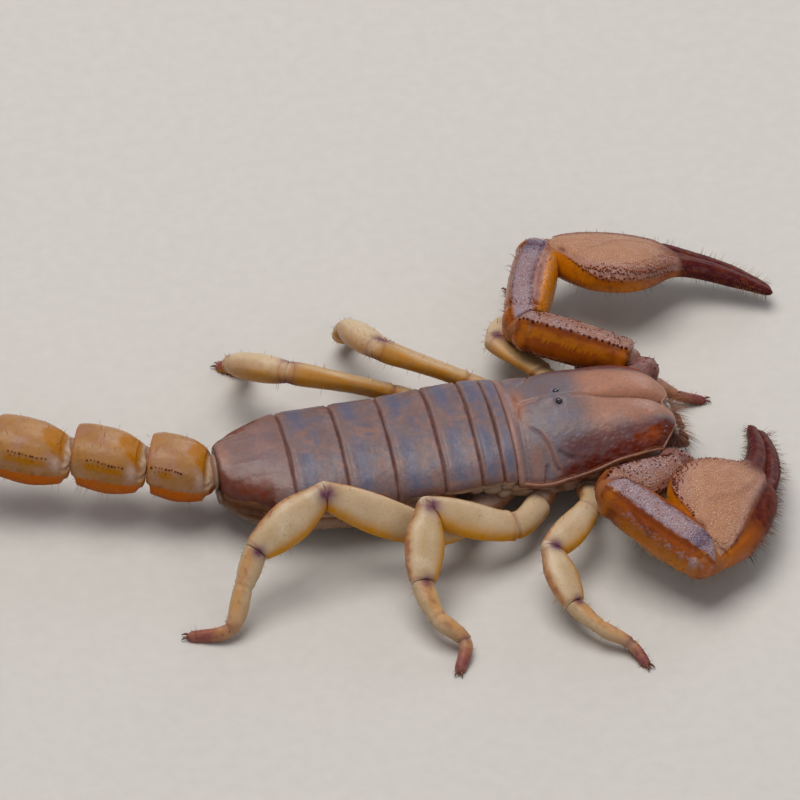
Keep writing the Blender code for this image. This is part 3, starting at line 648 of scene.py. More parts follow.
# Underside of the head end. The long coxae of the four pairs of legs meet round a small breastplate, with the
# genital plates behind it and a soft skin above them up to the carapace's edge.
LEGS = {
    "right_1": ((8.6, -4.9, 2.7), (8.2, -7.2, 2.7), (8.3, -11.2, 2.7), (11.4, -13.6, 1.4),
                (13.3, -13.3, 0.95), (14.8, -12.3, 0.7), (16.2, -10.7, 0.1)),
    "right_2": ((5.6, -5.6, 2.5), (4.9, -8.3, 3.2), (0.95, -13.15, 4.0), (1.7, -17.7, 2.4),
                (3.3, -19.7, 1.6), (5.3, -21.2, 0.9), (6.3, -23.2, 0.1)),
    "right_3": ((1.6, -5.9, 2.4), (-1, -8.6, 2.85), (-7.75, -8.85, 6.0), (-9.2, -14.2, 3.4),
                (-8.56, -16.9, 2.2), (-6.83, -18.55, 0.95), (-7.8, -21.1, 0.1)),
    "right_4": ((-3.4, -5.9, 2.3), (-7, -8.4, 3.2), (-15.35, -6.85, 7.1), (-21.1, -9.65, 4.8),
                (-22.4, -11.5, 3.0), (-23.9, -13.7, 0.95), (-27.1, -13.1, 0.1)),
    "left_1": ((8.6, 4.9, 2.5), (8.6, 7.0, 2.2), (9.0, 10.5, 2.9), (12.0, 8.8, 1.9),
               (13.6, 7.0, 1.4), (15.1, 5.8, 0.95), (17.4, 5.6, 0.1)),
    "left_2": ((5.6, 5.6, 2.4), (4.9, 8.3, 2.9), (1.9, 11.85, 3.5), (4.4, 15.2, 2.4),
               (5.4, 17.2, 1.7), (5.6, 19.4, 0.95), (5.0, 21.7, 0.1)),
    "left_3": ((1.6, 5.9, 2.4), (-1, 8.5, 2.9), (-7.8, 9.7, 6.3), (-9.0, 15.3, 3.9),
               (-9.3, 16.9, 1.9), (-8.0, 18.0, 0.9), (-5.4, 17.0, 0.1)),
    "left_4": ((-3.4, 5.9, 2.3), (-7, 8.3, 2.85), (-15.2, 8.2, 6.5), (-18.7, 12.1, 4.6),
               (-18.2, 13.9, 2.9), (-17.4, 15.6, 1.1), (-19.2, 17.2, 0.1)),
}
LEG_STOUTNESS = {"1": 0.82, "2": 0.86, "3": 1.0, "4": 1.05}
COXA_ROOTS = {"1": (8.4, 1.3, 2.2), "2": (6.2, 1.2, 2.2), "3": (3.6, 1.3, 2.2), "4": (1.2, 1.5, 2.2)}
COXA_HALF_BREADTH = {"1": 1.3, "2": 1.25, "3": 1.15, "4": 1.3}
COXA_PLATE = (-4.9, 11.1)
COXA_SKIN_BOTTOM = 1.9
COXA_PLATE_HALF_WIDTH = ((-4.9, 3.4), (-3, 4.8), (0, 5.2), (3, 5.3), (8, 4.75), (11.1, 4.1))
# Its cool lilac is a painted sheen on the coxae's tops.
LIMB_BASE = cuticle("coxa_cuticle", ((0.25, 0.12, 0.065), (0.33, 0.19, 0.11)),
                    {"dark": (0.06, 0.02, 0.018), "pale": (0.48, 0.35, 0.23), "warm": (0.42, 0.13, 0.015),
                     "cool": (0.27, 0.20, 0.19)}, roughness=0.32, coat=0.3, depth=0.08)


def coxa_skin(s, angle):
    """A point of the soft skin between the coxae and the carapace's edge."""
    x = COXA_PLATE[0] + 0.1 + (COXA_PLATE[1] - COXA_PLATE[0] - 0.2) * s
    rim = smooth(CARAPACE_RIM, max(x, 0.0)) - 0.25 if x > -0.5 else 3.9
    y, z = ring(angle, smooth(COXA_PLATE_HALF_WIDTH, x) * 0.96, (rim - COXA_SKIN_BOTTOM) / 2, 3.0)
    return Vector((x, y, (rim + COXA_SKIN_BOTTOM) / 2 + z))


def folded_rule(along, turn, point, out):
    folds = math.sin(point.x * 3.3 + 1.6 * math.sin(point.z * 2.0) + 1.5 * grit(point, 1.8))
    side = step(1 - abs(out.z), 0.2, 0.6)
    # The folds' valleys are darkened as painted shade and their crests lightened as painted highlight.
    return (side * (0.12 * folds + 0.08 * grit(point, 0.6)),
            {"dark": 0.8 * side * step(-folds, 0.2, 0.9), "pale": 0.6 * side * step(folds, -0.2, 0.7),
             "warm": 0.15 * side + 0.2 * grit(point, 1.2)})


def pleat_rule(along, turn, point, out):
    creases = math.sin(point.x * 3.4 + 3.0 * grit(point, 1.1))
    # The creases and the downward faces are darkened as painted shade, and the ridges between the creases
    # lightened as painted highlight.
    return (0.04 * creases + 0.05 * grit(point, 0.5),
            {"dark": 0.5 * step(-creases, 0.5, 0.95) + 0.3 * step(-out.z, 0, 0.7),
             "pale": 0.4 * step(creases + 0.5 * grit(point, 0.4), -0.6, 0.5), "warm": 0.2})


def knob_rule(along, turn, point, out):
    # Paler on top as painted light and darker below as painted shade.
    return (0.06 * grit(point, 0.6),
            {"pale": 0.55 * step(out.z, -0.4, 0.4), "dark": 0.5 * step(-out.z, 0.0, 0.7)})


PLEATS = ((3.62, 5.2), (2.95, 5.0))
SKIN_KNOBS = ((-3.1, 3.95, 0.5), (-1.9, 3.8, 0.68), (-0.75, 3.9, 0.5), (-1.0, 3.2, 0.55))

folds = detailed(loft(coxa_skin, 150, 90), folded_rule)
for way in (1, -1):
    for low, out in PLEATS:
        line = [(-0.6, out * way, low + 0.1), (3.0, (out + 0.15) * way, low), (7.6, (out - 0.55) * way, low)]
        pleat = tube(line, UP, even(0.36), ((0, 0.25), (0.4, 0.34), (1, 0.2)), square=2.0,
                     round_ends=(0.5, 0.5))
        joined(folds, detailed(loft(pleat, 90, 24), pleat_rule))
    for x, z, size in SKIN_KNOBS:
        knob = ball(Vector((x, 5.15 * way, z)), size, (1.15, 0.75, 0.8), (26, 16))
        joined(folds, detailed(knob, knob_rule))
finished("coxa_skin", folds, MEMBRANE, "limb", "coxosternum")


def coxa_rule(along, turn, point, out):
    lit = step(out.z, 0.1, 0.7)
    # The tops are paler with a lilac sheen as painted light, and the sides turned away from it darker as
    # painted shade.
    return (0.03 * grit(point, 0.7) - 0.06 * bell(along - 0.86, 0.03),
            {"dark": 0.6 * step(0.22 - along, 0, 0.2) + 0.35 * (1 - lit) * step(abs(out.x), 0.4, 0.9),
             "pale": 0.3 * lit * step(grit(point, 0.7), -0.2, 0.3), "cool": 0.5 * lit * step(along, 0.2, 0.5),
             "warm": max(0.75 * bell(along - 0.9, 0.08),
                         0.6 * step(abs(out.x), 0.45, 0.85) * (1 - 0.5 * lit))})


def underplate(points, width, height, rings, sides, square=2.3, round_ends=(1.2, 1.2)):
    """One coxa, lobe or plate of the underside along these points."""
    return detailed(loft(tube(points, UP, width, height, square, round_ends), rings, sides), coxa_rule)


coxae = []
for name, joints in LEGS.items():
    root, end = Vector(COXA_ROOTS[name[-1]]), Vector(joints[0])
    root.y = math.copysign(root.y, end.y)
    beyond = end + (Vector(joints[1]) - end).normalized() * 0.35
    broad = COXA_HALF_BREADTH[name[-1]]
    coxae.append(underplate([root, root.lerp(end, 0.55), end, beyond], ((0, 0.7), (0.4, 0.95), (1, 0.9)),
                            ((0, broad * 0.75), (0.5, broad), (1, broad * 0.72)), 48, 32, 2.4, (0.9, 0.5)))
for way in (1, -1):
    lobe = [(8.2, 1.0 * way, 1.9), (10.0, 1.5 * way, 2.1), (11.2, 2.2 * way, 2.6)]
    coxae.append(underplate(lobe, ((0, 0.5), (0.5, 0.75), (1, 0.5)), ((0, 0.6), (0.5, 1.0), (1, 0.7)),
                            40, 28))
    palp_root = [(9.4, 3.0 * way, 3.3), (10.4, 3.9 * way, 3.4), (11.2, 4.5 * way, 3.5)]
    coxae.append(underplate(palp_root, ((0, 0.9), (1, 1.15)), ((0, 1.1), (1, 1.2)), 40, 32))
    genital_plate = [(-0.3, 0.2 * way, 1.55), (-0.9, 1.4 * way, 1.6)]
    coxae.append(underplate(genital_plate, even(0.3), even(0.75), 24, 24, round_ends=(0.6, 0.6)))
breastplate = [(0.5, 0, 1.75), (3.0, 0, 1.7)]
coxae.append(underplate(breastplate, even(0.4), ((0, 1.0), (0.6, 0.95), (1, 0.5)), 30, 28, 2.6))
finished("coxae", joined(coxae[0], *coxae[1:]), LIMB_BASE, "limb")

# Combs. Behind the genital plates hang the two pectines, each a jointed shaft with a row of small plates and
# a fringe of soft teeth, which the animal drags over the ground to feel and smell it.
COMB_TEETH = 19
COMB_PLATES = 7.5
COMB = cuticle("comb_cuticle", ((0.42, 0.24, 0.10), (0.5, 0.31, 0.15)),
               {"dark": (0.2, 0.08, 0.04), "pale": (0.6, 0.45, 0.28), "warm": (0.5, 0.22, 0.05)},
               roughness=0.4, coat=0.1, depth=0.2)


def shaft_rule(along, turn, point, out):
    joint = (along * COMB_PLATES) % 1 - 0.5
    return -0.07 * bell(joint, 0.09), {"warm": 0.4, "dark": 0.5 * bell(joint, 0.1)}


def tooth_rule(along, turn, point, out):
    return 0.0, {"pale": 0.4 + 0.5 * along}


for side, way in SIDES:
    shaft = [(-1.0, 0.8 * way, 0.92), (-2.2, 3.4 * way, 0.85), (-3.2, 6.1 * way, 0.72)]
    place = tube(shaft, UP, even(0.3), ((0, 0.55), (0.4, 0.62), (1, 0.3)), square=2.4, round_ends=(0.5, 0.6))
    parts = [detailed(loft(place, 90, 20), shaft_rule)]
    keys = route(shaft)
    for i in range(COMB_TEETH):
        t = 0.1 + 0.88 * i / (COMB_TEETH - 1)
        root, ahead = smooth(keys, t), (smooth(keys, t + 0.01) - smooth(keys, t - 0.01)).normalized()
        back = UP.cross(ahead) * way
        reach = 0.95 - 0.35 * abs(t - 0.45)
        line = [root + back * 0.35, root + back * reach + Vector((0, 0, -0.12)),
                root + back * (reach + 0.45) + Vector((0, 0, -0.3))]
        tooth = tube(line, ahead, ((0, 0.1), (0.6, 0.17), (1, 0.12)), even(0.13), square=2,
                     round_ends=(0.15, 0.2))
        parts.append(detailed(loft(tooth, 8, 8), tooth_rule))
    finished("pecten_" + side, joined(parts[0], *parts[1:]), COMB, "leg", "pecten_" + side)

# Tail. Five stout bead-like segments carry the sting. Each is a rigid cuticle ring with keels of dark grains,
# a smooth amber underside and a narrow pale neck that turns in the collar of the one before it.
LEFT = Vector((0, 1, 0))
TAIL_JOINTS = ((-22.4, .3, 4.35), (-27.2, 1.8, 4.7), (-32.7, 3.6, 5.0), (-38.6, 5.5, 5.35),
               (-45.0, 7.8, 6.9), (-52.5, 10.85, 12.1))
STING = ((-52.5, 10.85, 12.1), (-54.4, 11.7, 14.6), (-56.6, 12.7, 16.7), (-59.0, 13.7, 17.7),
         (-61.2, 14.6, 17.0))
JOINT_LIP = 0.12
GRAIN_FLATNESS = 0.8
GRAIN_LIFT = 0.25
BEAD_WIDTH = ((0, 1.7), (0.12, 1.85), (0.45, 2.55), (0.8, 2.5), (1, 2.15))
BEAD_HEIGHT = ((0, 1.45), (0.12, 1.6), (0.45, 2.2), (0.8, 2.15), (1, 1.8))
BEAD_BOW = ((0.2, -0.4), (0.5, -0.15), (0.85, 0.25))
LAST_WIDTH = ((0, 1.8), (0.3, 2.15), (0.7, 2.15), (1, 1.7))
LAST_HEIGHT = ((0, 1.6), (0.3, 1.95), (0.7, 2.0), (1, 1.6))
STING_WIDTH = ((0, 1.1), (0.15, 1.7), (0.32, 2.0), (0.5, 1.65), (0.66, 0.7), (0.8, 0.42), (1, 0.27))
STING_HEIGHT = ((0, 1.1), (0.15, 1.8), (0.32, 2.2), (0.5, 1.8), (0.66, 0.75), (0.8, 0.42), (1, 0.27))
TAIL = cuticle("tail_cuticle", ((0.29, 0.128, 0.035), (0.35, 0.175, 0.065)),
               {"slate": (0.47, 0.106, 0.0), "warm": (0.35, 0.125, 0.0), "cool": (0.36, 0.20, 0.19),
                "pale": (0.62, 0.48, 0.36), "dark": (0.10, 0.012, 0.004)},
               roughness=0.27, coat=0.03, depth=0.04, grain=(3800, 0.45), shine=0.18,
               dull=("dark", "warm", "slate"))


def rounded_cut(body, point, outward, lip=0.24, gap=0.03):
    """Cuts the body off at the plane through point, rounds the rim of the cut and closes it."""
    outward = Vector(outward).normalized()
    edge = Vector(point) - outward * gap
    for inset in (lip, 0.62 * lip, 0.32 * lip, 0.1 * lip, 0.0):
        bmesh.ops.bisect_plane(body, geom=body.verts[:] + body.edges[:] + body.faces[:], dist=WELD,
                               plane_co=edge - outward * inset, plane_no=outward, clear_outer=inset == 0.0)
    bmesh.ops.holes_fill(body, edges=body.edges, sides=0)
    bmesh.ops.recalc_face_normals(body, faces=body.faces)
    body.normal_update()
    for corner in body.verts:
        depth = (edge - corner.co).dot(outward)
        if depth < lip:
            sideways = corner.normal - outward * corner.normal.dot(outward)
            if sideways.length > 0.2:
                shrink = 1 - math.sqrt(max(0.0, 1 - (1 - max(depth, 0.0) / lip) ** 2))
                corner.co = corner.co - sideways.normalized() * (0.75 * lip * shrink)
    return body


def mitre(before, joint, after):
    """The normal of the plane that halves the bend at joint, pointing on along the limb."""
    joint = Vector(joint)
    return (joint - Vector(before)).normalized() + (Vector(after) - joint).normalized()


def stretched(start, end, by):
    """The end point moved on past itself, away from start."""
    start, end = Vector(start), Vector(end)
    return end + (end - start).normalized() * by


def footing(place, s, angle):
    """A point of the skin and the way out of it."""
    point = place(s, angle)
    ahead = place(min(s + 0.01, 1.0), angle) - place(max(s - 0.01, 0.0), angle)
    out = ahead.cross(place(s, angle + 0.05) - place(s, angle - 0.05)).normalized()
    return point, out if out.dot(point - place(s, angle + math.pi)) > 0 else -out


def grain(body, point, out, size, marks):
    """One small bead of cuticle seated in the skin."""
    turned = out.to_track_quat("Z", "Y").to_matrix().to_4x4() @ Matrix.Diagonal((1, 1, GRAIN_FLATNESS, 1))
    seat = Matrix.Translation(point + out * (size * GRAIN_LIFT))
    made = bmesh.ops.create_icosphere(body, subdivisions=1, radius=size, matrix=seat @ turned)
    for mark, value in marks.items():
        layer = body.verts.layers.float[mark]
        for corner in made["verts"]:
            corner[layer] = value


def grain_row(body, place, reach, angle, count, size, marks, chance, jitter=0.02):
    """A keel's row of grains along the skin at this angle, which may be a number or a function of s."""
    for i in range(count):
        s = reach[0] + (reach[1] - reach[0]) * (i + chance.uniform(-0.2, 0.2)) / max(count - 1, 1)
        at = angle(s) if callable(angle) else angle
        point, out = footing(place, min(max(s, 0.01), 0.99), at + chance.uniform(-jitter, jitter))
        grain(body, point, out, size * chance.uniform(0.7, 1.15), marks)


def scaled(keys, by):
    return tuple((t, value * by) for t, value in keys)


def bead_line(start, end, bow):
    """The middle line of a tail segment, which lies low behind its neck and high at its rear."""
    front, rear = stretched(end, start, 0.5), stretched(start, end, 0.5)
    return [front, *(front.lerp(rear, t) + UP * lift for t, lift in bow), rear]


def tail_rule(number, start, end):
    """Height and colours of one tail segment, whose neck is at its front.

    A place is given by t, from 0 at the front to 1 at the rear, and by lateral, the degrees above the middle
    of the side."""
    axis = (end - start).normalized()
    length = (end - start).length

    def rule(along, turn, point, out):
        t = (point - start).dot(axis) / length
        lateral = math.degrees(math.acos(min(abs(math.cos(turn)), 1.0))) * (1 if math.sin(turn) > 0 else -1)
        blur, fine = grit(point, 1.1), grit(point, 0.45)
        # A narrow neck in front, one keel above and one at the side, and a raised rim at the rear.
        neck = 1 - step(t + 0.02 * blur, 0.07, 0.15)
        keel_up = bell(lateral - 38 + 8 * t, 4) * step(t, 0.3, 0.4) * (1 - step(t, 0.8, 0.9))
        keel_low = bell(lateral - 2 + 6 * t, 3.5) * step(t, 0.14, 0.3)
        height = 0.06 * keel_up + 0.1 * keel_low * (1 - 0.15 * number) + 0.015 * fine
        height -= (0.1 + 0.3 * step(-lateral, 0, 50)) * neck
        height -= 0.12 * bell(lateral - 90, 16) * bell(t - 0.35, 0.3)
        height += 0.05 * bell(t - 0.975, 0.02)
        # The hinge knob on the neck's side, with a ridge above it and a groove between them.
        condyle = bell((lateral - 4) / 8, 1.0) * bell((t - 0.06) / 0.04, 1.0)
        height += 0.22 * condyle + 0.1 * bell((lateral - 24) / 6, 1.0) * bell((t - 0.08) / 0.04, 1.0)
        height -= 0.1 * bell((lateral - 14) / 3, 1.0) * bell((t - 0.07) / 0.06, 1.0)
        # Orange below, an amber window between the two keels and an amber slope behind the neck. The
        # underside darkens towards the bottom as painted shade.
        below = step(1 - 6 * t - lateral + 2.0 * fine, 0, 2.0)
        shone = step(t, 0.27, 0.36) * (1 - step(t, 0.78, 0.88)) if number > 1 else bell(t - 0.72, 0.12)
        window = bell((lateral - 23 + 7 * t) / 8.5, 1.0) * shone * (1.05 + 0.4 * fine)
        slope = step(lateral - 40 - 130 * (t - 0.16) + 12 * fine, -6, 18) * (1 - neck)
        slope *= step(0.46 - t + 0.03 * fine, 0, 0.1)
        amber = max(window, slope)
        lilac = bell((t - 0.19) / 0.07, 1.0) * bell((lateral - 26) / 18, 1.0) * (1 - 0.7 * slope)
        rim = bell(t - 0.99, 0.02)
        marks = {"slate": max(below * (1 - 0.5 * neck), 0.75 * rim, 0.4 * neck * (1 - step(lateral, -4, 3))),
                 "warm": max(0.95 * amber, 0.3 * step(blur, 0.0, 0.6) * (1 - below), 0.6 * condyle),
                 "pale": max(0.85 * neck * (0.7 + 0.5 * fine) * (1 - condyle) * step(lateral, -2, 8),
                             0.42 * lilac,
                             0.1 * step(lateral, 30, 70) * (1 - slope) * step(blur, -0.3, 0.3)),
                 "cool": (0.8 * lilac * (1 - 0.6 * neck)
                          + 0.3 * step(-blur, 0.0, 0.4) * (1 - below) * (1 - amber)),
                 "dark": max(0.75 * condyle * step(abs(lateral - 4), 4, 9),
                             0.35 * keel_low * step(fine, 0, 0.4),
                             0.75 * bell(t, 0.035) * (1 - step(lateral, -4, 6)), 0.5 * rim * below,
                             0.45 * below * step(-lateral, 5, 50))}
        return height, marks

    return rule


chance = random.Random(11)
tail_chain = [Vector((-15, 0.3, 4.35)), *(Vector(p) for p in TAIL_JOINTS), Vector(STING[1])]
tail_places = []
for number in range(1, 6):
    start, end = tail_chain[number], tail_chain[number + 1]
    width, height = (BEAD_WIDTH, BEAD_HEIGHT) if number < 4 else (LAST_WIDTH, LAST_HEIGHT)
    stout = 1.12 if number == 4 else 1.0
    place = tube(bead_line(start, end, BEAD_BOW if number < 4 else ()), LEFT,
                 scaled(width, stout), scaled(height, stout), square=2.4)
    tail_places.append(place)
    body = loft(place, 90, 96)
    front_face = -mitre(tail_chain[number - 1], start, end) if number > 1 else (1, 0, 0)
    rounded_cut(body, start, front_face, lip=JOINT_LIP)
    rounded_cut(body, end, mitre(start, end, tail_chain[number + 2]), lip=0.32, gap=0.0)
    detailed(body, tail_rule(number, start, end))
    for way in (1, -1):
        # Rows of grains: the angle above the side, the stretch that they fill, count, size and tint.
        middle = 0.56 if number > 1 else 0.59 + 0.07 * way
        rows = [(0.56, (middle - 0.14, middle + 0.12), 11, 0.1, 1.0),
                (0.4, (middle - 0.06, middle + 0.1), 6, 0.05, 1.0)]
        if number > 3:
            rows += [(-0.75, (0.2, 0.86), 24, 0.09, 0.7), (-1.2, (0.2, 0.86), 24, 0.07, 0.7)]
        for angle, reach, count, size, tint in rows:
            turn = math.pi / 2 + way * (math.pi / 2 - angle)
            grain_row(body, place, reach, turn, count, size, {"dark": tint}, chance)
    finished(f"metasoma_{number}", body, TAIL, "tail", f"metasoma_{number}")

# Necks of the tail. A pale soft sleeve fills each joint between two segments, standing for the soft skin on
# which the living tail curls.
SLEEVE_RADII = (1.45, 1.5, 1.5, 1.5, 1.5, 1.0)


def plain(marks, height, size):
    """The rule of a piece with the same marks all over, and unevenness of this height and size."""
    return lambda along, turn, point, out: (height * grit(point, size), marks)


sleeves = [detailed(ball(joint, radius, (0.25, 1.0, 0.92), (36, 24)),
                    plain({"pale": 0.75, "cool": 0.2, "warm": 0.14}, 0.04, 0.4))
           for joint, radius in zip(tail_chain[1:], SLEEVE_RADII)]
finished("tail_sleeves", joined(sleeves[0], *sleeves[1:]), MEMBRANE, "tail")

# Sting. The last piece of the tail is a swollen vesicle with the venom glands, drawn out into a hard curved
# spine that darkens to its tip.


def sting_rule(along, turn, point, out):
    """A swollen vesicle with two shallow grooves, and a spine that darkens to its tip."""
    horny = step(along, 0.58, 0.72)
    rise = math.sin(turn)
    groove = bell(abs(math.cos(turn)) - 0.35, 0.12) * (rise > 0) * bell(along - 0.38, 0.12)
    return ((0.03 * grit(point, 0.4) - 0.12 * groove) * (1 - horny),
            {"dark": horny * (0.45 + 0.55 * step(along, 0.7, 0.88)), "warm": 0.45 * bell(along - 0.56, 0.1),
             "slate": 0.5 * step(rise, 0.2, 0.8) * (1 - horny), "pale": 0.5 * bell(along - 0.12, 0.06)})


sting_place = tube([stretched(STING[1], STING[0], 0.5), *STING[1:]], LEFT, STING_WIDTH, STING_HEIGHT,
                   square=2.0, round_ends=(1.0, 0.4))
sting = loft(sting_place, 150, 72)
rounded_cut(sting, tail_chain[6], -mitre(tail_chain[5], tail_chain[6], STING[1]))
detailed(sting, sting_rule)
for turn in (0.9, 1.57, 2.2):
    grain_row(sting, sting_place, (0.2, 0.5), turn, 13, 0.09, {"dark": 0.5}, chance, 0.05)
finished("telson", sting, TAIL, "tail", "telson")

# Walking legs. Eight jointed tubes of thin, wax-like yellow cuticle: a flat femur and patella, then the tibia
# and the two joints of the foot, which stands on a small sole. Their joints show purple through the skin.
THIGH_DEPTH = ((0, 1.05), (0.3, 1.05), (0.45, 1.25), (0.65, 1.45), (0.8, 1.3), (0.93, 0.95), (1, 0.8))
THIGH_THICKNESS = ((0, 0.9), (0.3, 0.72), (0.5, 0.68), (0.7, 0.76), (0.85, 0.88), (0.93, 0.84), (1, 0.75))
PATELLA_DEPTH = ((0, 0.75), (0.14, 0.9), (0.45, 1.55), (0.7, 1.42), (0.9, 1.0), (1, 0.9))
PATELLA_THICKNESS = ((0, 0.75), (0.14, 0.85), (0.45, 1.05), (0.75, 1.0), (0.9, 0.8), (1, 0.7))
FOOT_DEPTH = ((0, 0.8), (0.2, 0.88), (0.34, 0.7), (0.5, 0.72), (0.66, 0.56), (0.85, 0.5), (1, 0.42))
FOOT_THICKNESS = ((0, 0.7), (0.2, 0.75), (0.34, 0.62), (0.5, 0.62), (0.66, 0.5), (0.85, 0.46), (1, 0.4))
# Its warm orange is partly a painted glow on the legs' under and inner faces.
LEG = cuticle("leg_cuticle", ((0.43, 0.292, 0.155), (0.50, 0.36, 0.225)),
              {"cool": (0.38, 0.18, 0.09), "warm": (0.52, 0.215, 0.0), "pale": (0.64, 0.54, 0.40),
               "slate": (0.30, 0.07, 0.03), "dark": (0.08, 0.012, 0.07)},
              roughness=0.36, coat=0.06, depth=0.08, grain=(4200, 0.25), blotch=260, shine=0.2)
CLAW = cuticle("claw_horn", ((0.12, 0.035, 0.018), (0.20, 0.07, 0.03)), {"dark": (0.02, 0.008, 0.008)},
               roughness=0.25, coat=0.4)
FORE_FEET = 11.5
FOOT_SPINES = 7
leg_places = {}


def leg_rule(start, end, belly, kind, knots):
    """Height and colours of a leg's segment between its two joints.

    belly points to the inner side of its bend. Each knot is (place, size, strength) of a dark spot over a
    joint, or of a pale one if its strength is negative; the pale knob over a knee is partly a painted
    highlight."""
    axis = (end - start).normalized()
    length = (end - start).length
    belly = (belly - axis * belly.dot(axis)).normalized()

    def rule(along, turn, point, out):
        t = (point - start).dot(axis) / length
        blur, fine = grit(point, 1.3), grit(point, 0.4)
        under = out.dot(belly)
        right = point.y < 0
        medial = out.y if right else -out.y
        ridge = bell(under + 0.97, 0.16)
        height = 0.03 * ridge * step(t, 0.1, 0.3) + 0.012 * blur
        rim = step(abs(under) + 0.1 * blur, 0.72, 0.98)
        # The orange on the under and inner faces, stronger on the far legs, is partly the cuticle's amber and
        # partly a painted glow of light through it, and the far legs' patellae are paler on their upward
        # faces as painted light.
        warm = step(under + 0.15 * blur, 0.0, 0.7) + 0.6 * step(medial, 0.2, 0.8) + 0.25 * (not right)
        if right:
            pale = (0.4 if kind == "patella" else 0.12) * step(blur, -0.2, 0.5) * (1 - step(under, 0, 0.6))
        else:
            pale = 0.45 * step(out.z, 0.2, 0.9) * (kind == "patella")
        marks = {"cool": (0.65 if right else 0.25) * step(-under + 0.2 * blur, 0.8, 0.98),
                 "warm": max(warm, 0.35 * rim), "pale": pale,
                 "slate": (0.5 if right else 0.15) * step(-under + 0.1 * fine, 0.86, 0.99), "dark": 0.0}
        # The joints' spots, sunk a little where they are dark, and the collars at both ends.
        for spot, size, strength in knots:
            near = (point - spot).length
            if strength < 0:
                marks["pale"] = max(marks["pale"], -strength * bell(near, size))
                height += 0.05 * bell(near, size)
                continue
            height -= 0.04 * strength * bell(near, size)
            marks["dark"] = max(marks["dark"], strength * bell(near + 0.1 * fine, size))
        marks["dark"] = max(marks["dark"], (0.3 if right else 0.08) * ridge * step(fine, 0.15, 0.45))
        collar = bell(t - 0.02, 0.02) + bell(t - 0.985, 0.015)
        marks["slate"] = max(marks["slate"], 0.45 * collar)
        if kind == "foot":
            # The last joint of a foot is redder, and the left first leg's foot is darker on top.
            marks["cool"] = max(marks["cool"], 0.75 * step(along, 0.42, 0.62))
            last = step(along, 0.62, 0.76) * (1 - 0.8 * step(under, 0.3, 0.8))
            marks["slate"] = 0.75 * last
            marks["dark"] = max(marks["dark"], 0.55 * last * (0.8 + 0.6 * fine))
            if point.x > FORE_FEET and not right:
                marks["dark"] = max(marks["dark"], 0.6 * (1 - step(-out.z + out.y, -0.3, 0.4)))
        return height, marks

    return rule


def spine(body, root, tip, thick, marks=None):
    """A stiff pointed spine or claw, closed at both ends, that rises a little in its middle."""
    root, tip = Vector(root), Vector(tip)
    middle = root.lerp(tip, 0.5) + UP * (0.16 * (tip - root).length)
    side = (tip - root).cross(UP)
    side = side.normalized() if side.length > 1e-6 else Vector((1, 0, 0))
    taper = ((0, thick), (0.5, 0.75 * thick), (1, 0.2 * thick))
    point = loft(tube([root, middle, tip], side, taper, taper, square=2,
                      round_ends=(thick * 0.8, thick * 0.3), floor=0.01), 9, 7)
    if marks:
        detailed(point, lambda along, turn, place, out: (0.0, marks(along)))
    return joined(body, point)


def horny_tip(along):
    return {"dark": step(along, 0.4, 0.9)}


def leg_claws(name, foot_place, flat, pad, tip):
    """A foot's two claws, the short one between them, and the spines along its sole and at its last joint."""
    ahead = (tip - pad).normalized()
    ahead.z = 0
    ahead.normalize()
    aside = UP.cross(ahead)
    claws = bare()
    for way in (1, -1):
        root = tip + UP * 0.22 + aside * (0.14 * way) - ahead * 0.08
        end = tip + ahead * 0.42 + aside * (0.3 * way) + UP * 0.02
        spine(claws, root, end, 0.1, horny_tip)
    spine(claws, tip + UP * 0.1, tip + ahead * 0.28 + UP * 0.02, 0.06)
    for i in range(FOOT_SPINES):
        t = 0.68 + 0.29 * i / (FOOT_SPINES - 1)
        s = math.acos(1 - 2 * t) / math.pi
        for turn in (0.0, math.pi):
            root, out = footing(foot_place, s, turn)
            root = root - out * 0.08
            root.z = max(root.z - 0.05, 0.12)
            spine(claws, root, root + out * 0.32 + Vector((0, 0, -0.12)) + ahead * 0.12, 0.05)
    for way in (1, -1):
        out = flat * way
        spine(claws, pad + out * 0.25, pad + out * 0.55 - UP * 0.1 + ahead * 0.25, 0.07)
    finished(f"leg_{name}_claws", claws, CLAW, "leg")


